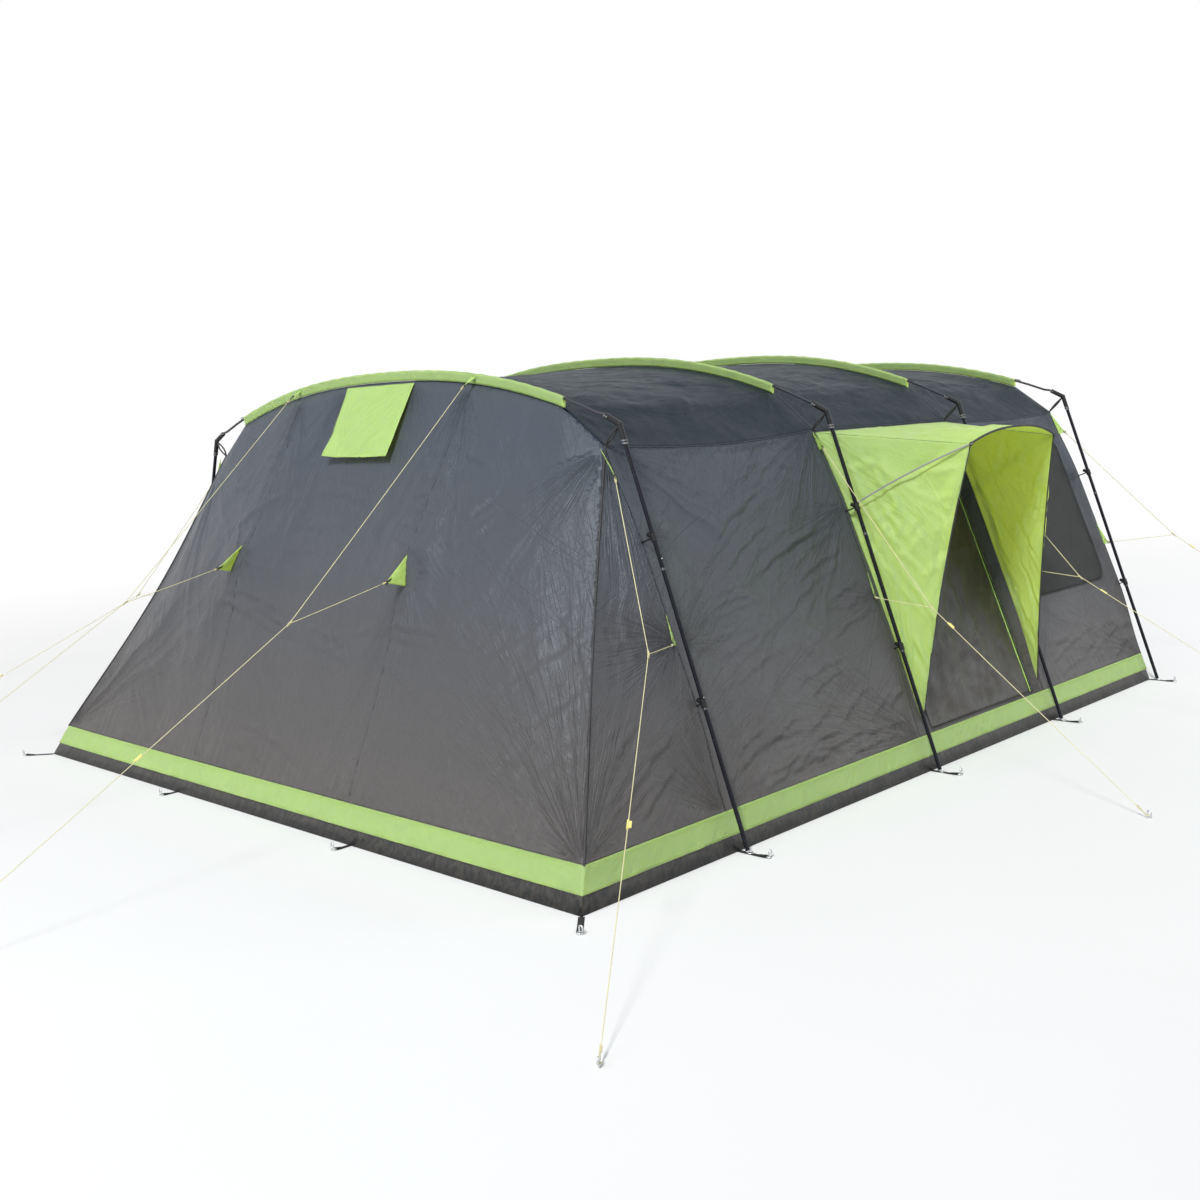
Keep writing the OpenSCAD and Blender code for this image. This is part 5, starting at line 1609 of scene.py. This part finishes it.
class TENT_OT_roof(bpy.types.Operator):
    """Make the three roof panels and the sleeves over the roof poles"""

    bl_idname = "tent.roof"
    bl_label = "Roof and sleeves"

    def execute(self, context):
        own = props("cloth")
        for i in range(3):
            poles = [f"roof_pole_{i + 1}", f"roof_pole_{i + 2}"]
            sew(f"roof_cloth_{i + 1}", f"roof_panel_{i + 1}", [roof_part(i)], "Roof cloth",
                poles, thick=own.thickness)
        poles = [f"roof_pole_{i}" for i in range(1, 5)]
        sew("sleeves", "pole_sleeves", [sleeve_part(i) for i in range(4)], "Lime cloth",
            poles, thick=0.0009)
        rows, loops, t = [], [], column(13)
        y = np.linspace(-1.28, 1.28, 90)
        for x, apex in zip(ARCH_X, APEX):
            for s in (-1, 1):
                rows.append(stack(x + s * 0.0062, y, cloth_z(y, apex) + 0.011))
                top, end = (vec(x, s * at, pole_z(at, apex) + up)
                            for at, up in ((SLEEVE_Y - 0.012, 0.004), (SLEEVE_Y + 0.035, 0.0085)))
                loops += [lerp(top, end, t) + vec(way, 0, 0.004) * np.sin(pi * t) for way in (0.011, -0.011)]
        follow("sleeve_stitches", "Stitches", rows, "Lime thread", "lime_cloth", Pitch=own.stitch)
        follow("sleeve_end_loops", "Piping", loops, "Dark thread", "webbing", Radius=0.0014, Sides=6)
        return {"FINISHED"}


class TENT_OT_walls(bpy.types.Operator):
    """Make the wall panels of both sides, both ends and the corner gussets"""

    bl_idname = "tent.walls"
    bl_label = "Walls"

    def execute(self, context):
        doorway, window = rounded(*DOOR, low=False), rounded(*WINDOW)
        legs = [f"legs_{i}" for i in range(1, 5)]
        for name, parts, on in (
            ("side_wall", [wall_part(0, -1, 0.0092, seed=11)], legs[:2]),
            ("door_wall", [wall_part(1, -1, 0.0115, doorway, 12)], legs[1:3]),
            ("window_wall", [wall_part(2, -1, 0.0115, window, 13)], legs[2:]),
            ("far_wall", [wall_part(i, 1, 0.0135, window if i == 2 else None, 14 + i) for i in range(3)],
             legs),
            ("end_wall", [end_part(0.0132)], ["roof_pole_1"]),
            ("gussets", [gusset_part(-1), gusset_part(1)], legs[:1]),
            ("front_wall", [front_part(0.026)], ["roof_pole_4", "legs_4"]),
        ):
            sew(name.removesuffix("s") + "_cloth", name, parts, "Wall cloth", on,
                thick=props("cloth").thickness)
        seams, stitches, corners = [], [], []
        u, up = np.linspace(0, 1, 40), np.linspace(BAND_TOP, WALL_L - 0.004, 40)
        s, z = np.linspace(BAND_TOP, WALL_L, 30), np.linspace(END_SEAM + 0.03, 1.93, 60)
        for side in (-1, 1):
            for x, bay, sag in zip(ARCH_X, BAY, SEAM_SAG):
                seams.append(on_wall(x + bay * u, WALL_L - sag * hump(u), side, 0.0008))
                if side < 0:
                    stitches.append(on_wall(x + bay * u, WALL_L - sag * hump(u) - 0.009, side, 0.0028))
            seams += [on_wall(x, up, side, 0.0005 + arch_pull(x, up)) for x in ARCH_X]
            seam = on_wall(corner_x(s), s, side)
            corners.append(seam + corner_shift(seam) + vec(-0.0012, 0.0012 * side, 0))
            p = stack(side * PANEL_SEAM_Y, z, 0)[:, :2]
            seams.append(on_end(p, end_folds(p) * smooth((2 - z) / 0.06) + 0.0005))
        y = np.linspace(-SHOULDER_Y, SHOULDER_Y, 80)
        seams.append(stack(2.5002, y, cloth_z(y, APEX[3]) - 0.0022))
        follow("wall_seams", "Piping", seams, "Wall cloth", "dark_cloth", Radius=0.0021, Sides=6)
        follow("corner_seams", "Piping", corners, "Dark binding", "dark_cloth", Radius=0.0042, Sides=8)
        follow("wall_stitches", "Stitches", stitches, "Dark thread", "dark_cloth", Pitch=0.012)
        return {"FINISHED"}


class TENT_OT_base(bpy.types.Operator):
    """Make the coloured band and the groundsheet"""

    bl_idname = "tent.base"
    bl_label = "Band and groundsheet"

    def execute(self, context):
        walls = ["side_wall", "far_wall", "end_wall", "front_wall"]
        sew("band_cloth", "hem_band", band_parts(), "Lime cloth", walls, thick=0.001)
        sew("groundsheet_cloth", "groundsheet", [ground_part()], "Groundsheet cloth",
            ["hem_band"], thick=0.0008)
        rows = []
        for side in (-1, 1):
            for s, off in ((BAND_TOP - 0.006, 0.0036), (BAND_TOP - 0.015, 0.0036),
                           (BAND_LOW + 0.012, 0.0046)):
                rows.append(on_wall(np.linspace(corner_x(s) + 0.02, 2.49, 200), s, side, off))
        y = np.linspace(-2.08, 2.08, 160)
        for z, off in ((END_SEAM - 0.006, 0.0042), (END_SEAM - 0.014, 0.0042), (0.077, 0.0052)):
            rows.append(stack(end_x(y, z) - off, y, z))
        follow("band_stitches", "Stitches", rows, "Lime thread", "lime_cloth", Pitch=props("cloth").stitch)
        return {"FINISHED"}


class TENT_OT_porch(bpy.types.Operator):
    """Make the porch over the side door, with its cheeks and edge bindings"""

    bl_idname = "tent.porch"
    bl_label = "Porch"

    def execute(self, context):
        for name, parts in (("top", [porch_top_part()]), ("cheek", [cheek_part(0), cheek_part(1)])):
            sew(f"porch_{name}_cloth", "porch_top" if name == "top" else "porch_cheeks", parts, "Lime cloth",
                ["porch_bow", "door_wall"], thick=0.001)
        u, v = np.linspace(0.01, 0.99, 60), np.linspace(0.004, 0.994, 60)
        edges = [cheek_free_edge(side, v) for side in (0, 1)]
        follow("porch_edge_binding", "Piping", edges, "Dark binding", "webbing", Radius=0.0036, Sides=8)
        front = porch_front(u)
        sleeve = front + stack((2 * u - 1) * 0.00485, -0.00485, 0)
        follow("porch_front_piping", "Piping", [sleeve], "Dark binding", "webbing", Radius=0.0054, Sides=10)
        dip = stack(0, 0, 0.0016 - PORCH_SAG * 0.97 * 0.1 * hump(u))
        rows = [lerp(front, porch_back(u), w) + dip for w in (0.018, 0.032)]
        leg_y, leg_z = -(FOOT_Y - 1.3 * tan(LEG_TILT)), 1.3
        sockets = [ring_part((x + way * 0.0141, leg_y, leg_z), (0.1 * way, -0.4, 1), 0.0078, 0.003, 20)
                   for x, way in ((-0.06, 1), (1.22, -1))]
        for side, way in ((0, -1), (1, 1)):
            a, b, c = cheek_edges(side)
            inner = unit((a + b) / 2 - (b + c) / 2)
            rows.append(cheek_free_edge(side, v[4:-6]) + inner * 0.014 + vec(way, 0, 0) * 0.0016)
            tip = porch_front(float(side)) + [0.004 * way, -0.004, -0.001]
            sockets.append(ring_part(tip, (0.3, 1, 0.2), 0.008, 0.0028, 20))
        follow("porch_stitches", "Stitches", rows, "Lime thread", "lime_cloth", Pitch=props("cloth").stitch)
        paint("Bow finish", "porch_bow")
        hard("bow_sockets", sockets, "Black plastic")
        return {"FINISHED"}


class TENT_OT_door(bpy.types.Operator):
    """Make the side door with its zip"""

    bl_idname = "tent.door"
    bl_label = "Side door"

    def execute(self, context):
        door = sew("side_door_cloth", "side_door", [side_door_part()], "Door cloth",
                   ["door_edge", "door_wall"], body="door", thick=0.001, whole=True)
        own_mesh(door)
        low, high = DOOR[2], DOOR[3] - DOOR[4]

        def edge(u, v):
            return on_wall(ZIP_X + 0.0259 * u, low + 0.0005 + (high - low - 0.001) * v, -1, -0.0001)

        tape = grid(edge, 4, 90, (0, -1, 0.3), lambda p, u, v: 0.0006 * np.sin(p[..., 1] * 50))
        sew("door_edge_cloth", "door_edge", [tape], "Lime cloth", ["door_wall"],
            body="door")
        zip_x = ZIP_X + 0.013

        def up(x, out, count=60):
            return on_wall(x, np.linspace(low + 0.004, high - 0.004, count), -1, out)

        hard("zip_tape", [ribbon(up(zip_x, 0.0006), (1, 0, 0), 0.017, 0.0008)], "Webbing", "door")
        follow("zip_teeth", "Zip teeth", [up(zip_x, 0.0014, 120)], "Black plastic", "zip", "door",
               Pitch=0.005)
        follow("door_edge_piping", "Piping", [up(ZIP_X + 0.0022, 0.0022)], "Lime cloth", "lime_cloth",
               "door", Radius=0.0022, Sides=8)
        loop = opening(*DOOR, low=False, by=-0.004)
        binding = strand(on_wall(*np.concatenate([loop, loop[:1]]).T, -1, 0.0012), 0.03)
        follow("doorway_binding", "Piping", [binding], "Dark binding", "webbing", Radius=0.0032, Sides=8)
        paint("Black plastic", "zip_slider")
        return {"FINISHED"}


class TENT_OT_openings(bpy.types.Operator):
    """Make the window screens, the vent screen and the vent hood"""

    bl_idname = "tent.openings"
    bl_label = "Windows and vent"

    def execute(self, context):
        pull = (WINDOW[1], WINDOW[3]), -2.4, 0.8, 0.3, 12, 5
        panes, rims = [], []
        loop = opening(*WINDOW, by=-0.004)
        loop = np.concatenate([loop, loop[:1]])
        for side in (-1, 1):
            panes.append(cut(
                opening(*WINDOW, by=0.0004), [], 0.028, lambda p: on_wall(*p.T, side, -0.001),
                (0, side, 0.3), lambda p: -0.008 + 0.005 * waves(p, 0.4, 21 + side) + 0.004 * fan(p, *pull)))
            rims.append(strand(on_wall(*loop.T, side, 0.0012), 0.03))
        sew("window_screens", "window_panes", panes, "Screen net",
            ["window_wall", "far_wall"], thick=0.0006)
        follow("window_bindings", "Piping", rims, "Dark binding", "webbing", Radius=0.0032, Sides=8)
        half, low, high = VENT
        half, low, high = half * 0.998, low + 0.0005, high - 0.0005
        square = np.array([(-half, low), (half, low), (half, high), (-half, high)])

        def vent(p):
            y, z = p.T
            return stack(END_X + OVERHANG * z / float(cloth_z(0.0, APEX[0])) + 0.0016, y, z)

        screen = cut(square, [], 0.02, vent, (-1, 0, 0.4), lambda p: 0.001 * waves(p, 0.15, 3) - 0.001)
        sew("vent_screen", "vent_mesh", [screen], "Screen net", ["end_wall"],
            thick=0.0006)
        sew("vent_hood_cloth", "vent_hood", [hood_part()], "Lime cloth",
            ["pole_sleeves"], body="vent_hood")
        paint("Black plastic", "vent_stay")
        hinge, down, out = hood_frame()
        t, d = np.linspace(-0.262, 0.262, 70), column(40, 0.02, 0.375)
        rows = [hinge + down * at + stack(0, t, 0) + out * 0.0034 for at in (0.378, 0.370)]
        rows += [hinge + down * d + vec(0, y, 0) + out * 0.003 for y in (-0.256, 0.256)]
        follow("hood_stitches", "Stitches", rows, "Lime thread", "lime_cloth", "vent_hood", Pitch=0.011)
        return {"FINISHED"}


def patch(a, b, tip, bulge=0.004):
    """Patch from the seam between a and b to its tip, with its webbing and its buckle."""
    mid = (a + b) / 2
    side, along = unit(np.cross(a - b, tip - mid)), unit(tip - mid)

    def place(u, v):
        edge = lerp(a, b, u[..., None])
        return mid + (edge - mid) * (1 - 0.95 * v)[..., None] + (tip - mid) * v[..., None]

    def lift(p, u, v):
        return bulge * np.sin(pi * v) * (1 - (2 * u - 1) ** 2) + 0.0012 * np.sin(u * 23) * (1 - v)

    web = [tip - along * 0.03 + side * 0.003, tip - along * 0.014 + side * 0.002, tip - along * 0.002]
    eye, bar = tip + along * 0.004, unit(np.cross(along, side)) * 0.0085
    buckle = [ring_part(eye, side, 0.0085, 0.0017, 20, (1, 0.8)),
              tube_part([eye - bar, eye + bar], 0.0013, 6)]
    return grid(place, 12, 14, side, lift), ribbon(web, unit(a - b), 0.012, 0.0018), buckle


class TENT_OT_patches(bpy.types.Operator):
    """Make the triangular patches for the guy lines, with their webbing, buckles and spare rings"""

    bl_idname = "tent.patches"
    bl_label = "Guy patches"

    def execute(self, context):
        cloth, webs, buckles = [], [], []
        for mirror in (1, -1):
            made = [self.on_side(i, k, up) for i in range(4) for k, up in ((0, 0.12), (3, 0.11))]
            made += [self.on_slant(), self.on_sleeve()]
            for a, b, tip, *bulge in made:
                part, web, buckle = patch(*(q * [1, mirror, 1] for q in (a, b, tip)), *bulge)
                cloth.append(part)
                webs.append(web)
                buckles += buckle
        sew("guy_patch_cloth", "guy_patches", cloth, "Lime cloth",
            ["side_wall", "end_wall"], thick=0.0014)
        hard("guy_patch_webbing", webs, "Webbing")
        hard("guy_patch_buckles", buckles, "Black plastic")
        paint("Black plastic", "guy_rings")
        return {"FINISHED"}

    def on_side(self, i, k, up):
        """A patch on the near wall at arch i, for the upper point (k is 0) or the lower one of its line."""
        x = ARCH_X[i] + (-0.006, -0.006, 0.006, -0.006)[i]
        at = vec(*GUYS[i][k])
        high, low = (on_wall(x, s, -1, 0.0012 + arch_pull(x, s))
                     for s in (min(at[2] + up, SHOULDER_Z - 0.008) / cos(LEAN), (at[2] - 0.02) / cos(LEAN)))
        tip = at + unit((high + low) / 2 - at) * 0.0012
        high[0] -= 0.03 if i == k == 0 else 0
        return high, low, tip

    def on_slant(self):
        """The patch where a line draws out the slanted wall."""
        off = [0.0012, 0, 0]
        tip = vec(*END_LINE[3]) + [0.0006, 0, 0]
        return end_surface(-0.69, 1.185) - off, end_surface(-0.735, 1.052) - off, tip, 0.006

    def on_sleeve(self):
        """The tab at a line's upper point, under the sleeve of the first arch."""
        a, b = (vec(ARCH_X[0] - 0.011, y, pole_z(y, APEX[0]) - 0.0085) for y in (-0.728, -0.700))
        return a, b, vec(*END_LINE[0]) + [0.0006, 0, 0.0006], 0.0


def strap(p, q):
    """Strap from p to q on the ground: webbing folded back, its ring, and the row that sews it."""
    p, q = vec(*p, 0), vec(*q, 0)
    d, run, t = unit(q - p), np.linalg.norm(q - p), column(12)
    side, end = vec(-d[1], d[0], 0), q - d * 0.011
    path = lerp(p, end, t) + [0, 0, 0.0011] + vec(0, 0, 0.0035) * smooth((t - 0.7) / 0.3)
    back, t = end - d * min(0.045, run * 0.4), column(8)
    fold = lerp(end, back, t) + vec(0, 0, 0.0062) * (1 - t) + [0, 0, 0.0028]
    ring = ring_part(q + [0, 0, 0.005] - d * 0.002, (0, 0, 1), 0.0105, 0.0022, 26, ref=(0.3, 1, 0))
    row = back + side * column(6, -0.009, 0.009) + [0, 0, 0.0040]
    return [ribbon(path, side, 0.0245, 0.0016), ribbon(fold, side, 0.0235, 0.0016)], ring, row


class TENT_OT_pegs(bpy.types.Operator):
    """Make the ground straps with their rings, and finish the pegs"""

    bl_idname = "tent.pegs"
    bl_label = "Straps and pegs"

    def execute(self, context):
        webs, rings, rows = {"foot": [], "ground": []}, [], []
        for side in (-1, 1):
            feet = [(x, side * (WALL_Y - 0.0034), x, side * (FOOT_Y + 0.105)) for x in ARCH_X]
            x = END_X + 0.0034
            ground = [(x, side * (WALL_Y - 0.0034), END_X - 0.1175, side * (WALL_Y + 0.108)),
                      (x, side * 0.75, END_X - 0.08, side * 0.75),
                      (2.4966, side * 0.75, 2.5975, side * 0.75)]
            for kind, (x0, y0, x1, y1) in [("foot", q) for q in feet] + [("ground", q) for q in ground]:
                web, ring, row = strap((x0, y0), (x1, y1))
                webs[kind] += web
                rings.append(ring)
                rows.append(row)
        for kind, parts in webs.items():
            hard(f"{kind}_strap_webbing", parts, "Webbing", nodes=[f"{kind}_straps"])
        hard("strap_rings", rings, "Zinc-plated steel")
        follow("strap_stitches", "Stitches", rows, "Dark thread", "webbing", Pitch=0.003, Length=0.0022)
        paint("Zinc-plated steel", "ground_pegs", "guy_pegs")
        return {"FINISHED"}


def cabin_wall(a, b, c, d, seed, out):
    """Sagging panel between the corners a, b below and d, c above."""
    a, b, c, d = (np.array(q, float) for q in (a, b, c, d))
    own = props("cloth")

    def place(u, v):
        return lerp(lerp(a, b, u[..., None]), lerp(d, c, u[..., None]), v[..., None])

    def lift(p, u, v):
        x, y = p[..., 0].max(), p[..., 1].max()
        f = fans(p, [((0, y), -0.8, 0.9, 0.4, 11, 1), ((x, y), pi + 0.8, 0.9, 0.4, 11, 1)], seed)
        loose = -0.014 * hump(u) * hump(v) + own.swell * waves(p, 0.5, seed) + 0.006 * f
        return ends(u, 0.04) * ends(v, 0.05) * loose

    return grid(place, 40, 34, out, lift)


class TENT_OT_cabin(bpy.types.Operator):
    """Make the sleeping cabin and its door"""

    bl_idname = "tent.cabin"
    bl_label = "Sleeping cabin"

    def execute(self, context):
        front, y0, y1, top, floor = CABIN
        back0, back1 = CABIN_BACK
        f0, f1, b0, b1 = ((x, y, floor) for x in (front, back0) for y in (-y0, y0))
        t0, t1, r0, r1 = ((x, y, top) for x in (front, back1) for y in (-y1, y1))
        walls = ((b0, f0, t0, r0, 101, (0, -1, 0)), (b1, f1, t1, r1, 102, (0, 1, 0)),
                 (b1, b0, r0, r1, 103, (-1, 0, 0)), (r0, t0, t1, r1, 104, (0, 0, 1)))
        parts = [cabin_wall(*wall) for wall in walls]

        def ground(u, v):
            return stack(lerp(back0, front, u), lerp(-y0, y0, v), floor + 0.0008)

        def rise(p, u, v):
            return 0.002 * np.minimum(ends(u, 0.1), ends(v, 0.1)) * (1 + waves(p, 0.4, 9) * 0.5)

        parts.append(grid(ground, 20, 34, (0, 0, 1), rise))

        def flat(off=0.0):
            return lambda p: stack(front - off, *p.T)

        def box(by):
            """Outline of the cabin's doorway, made smaller by a margin."""
            half, sill, head = CABIN_DOOR
            x, z0, z1 = half - by[0], sill + by[1], head - by[1]
            return np.array([(-x, z0), (x, z0), (x, z1), (-x, z1)])

        def lift(p):
            f = fans(p, [((-y1, top), -0.9, 0.8, 0.4, 13, 1), ((y1, top), pi + 0.9, 0.8, 0.4, 13, 1)], 7)
            return 0.6 * props("cloth").swell * waves(p, 0.5, 105) + 0.006 * f - 0.004

        def hang(p):
            x, z = p.T
            return -0.003 + 0.004 * waves(p, 0.35, 106) + 0.003 * np.sin(x * 26 + np.sin(z * 3))

        outline = np.array([(-y0, floor), (y0, floor), (y1, top), (-y1, top)])
        parts.append(cut(outline, [box((0, 0))], 0.04, flat(), (1, 0, 0), lift))
        sew("cabin_cloth", "inner_cabin", parts, "Cabin cloth", ["cabin_hangers"],
            thick=0.0008)
        leaf = cut(box((0.0005, 0.0004)), [], 0.024, flat(0.0004), (1, 0, 0), hang)
        sew("cabin_door_cloth", "cabin_door", [leaf], "Cabin cloth", ["inner_cabin"],
            body="cabin_door", thick=0.0008)
        loop = box((-0.004, -0.004))
        rim = strand(flat(-0.001)(np.concatenate([loop, loop[:1]])), 0.05)
        follow("cabin_doorway_binding", "Piping", [rim], "Dark binding", "webbing", Radius=0.0028, Sides=6)
        return {"FINISHED"}


OPERATORS = (
    TENT_OT_stage, TENT_OT_lines, TENT_OT_poles, TENT_OT_roof, TENT_OT_walls, TENT_OT_base, TENT_OT_porch,
    TENT_OT_door, TENT_OT_openings, TENT_OT_patches, TENT_OT_pegs, TENT_OT_cabin,
)
PAGES = {"cloth": TentCloth, "frame": TentFrame, "lines": TentLines, "stage": TentStage}


class TENT_PT_tent(bpy.types.Panel):
    """Lists the tent's sizes and colours, and the steps that make it"""

    bl_idname = "TENT_PT_tent"
    bl_label = "Tent on poles"
    bl_space_type = "VIEW_3D"
    bl_region_type = "UI"
    bl_category = "Tent"

    def draw(self, context):
        for name, kind in PAGES.items():
            box = self.layout.box()
            box.label(text=name.capitalize())
            for key in kind.__annotations__:
                box.prop(props(name), key)
        for cls in OPERATORS:
            self.layout.operator(cls.bl_idname)


CLASSES = (*PAGES.values(), *OPERATORS, TENT_PT_tent)


def register():
    for cls in CLASSES:
        bpy.utils.register_class(cls)
    for name, kind in PAGES.items():
        setattr(bpy.types.Scene, "tent_" + name, PointerProperty(type=kind))


def unregister():
    for name in PAGES:
        delattr(bpy.types.Scene, "tent_" + name)
    for cls in reversed(CLASSES):
        bpy.utils.unregister_class(cls)


def main():
    register()
    for cls in OPERATORS:
        space, name = cls.bl_idname.split(".")
        getattr(getattr(bpy.ops, space), name)()


if __name__ == "__main__":
    main()
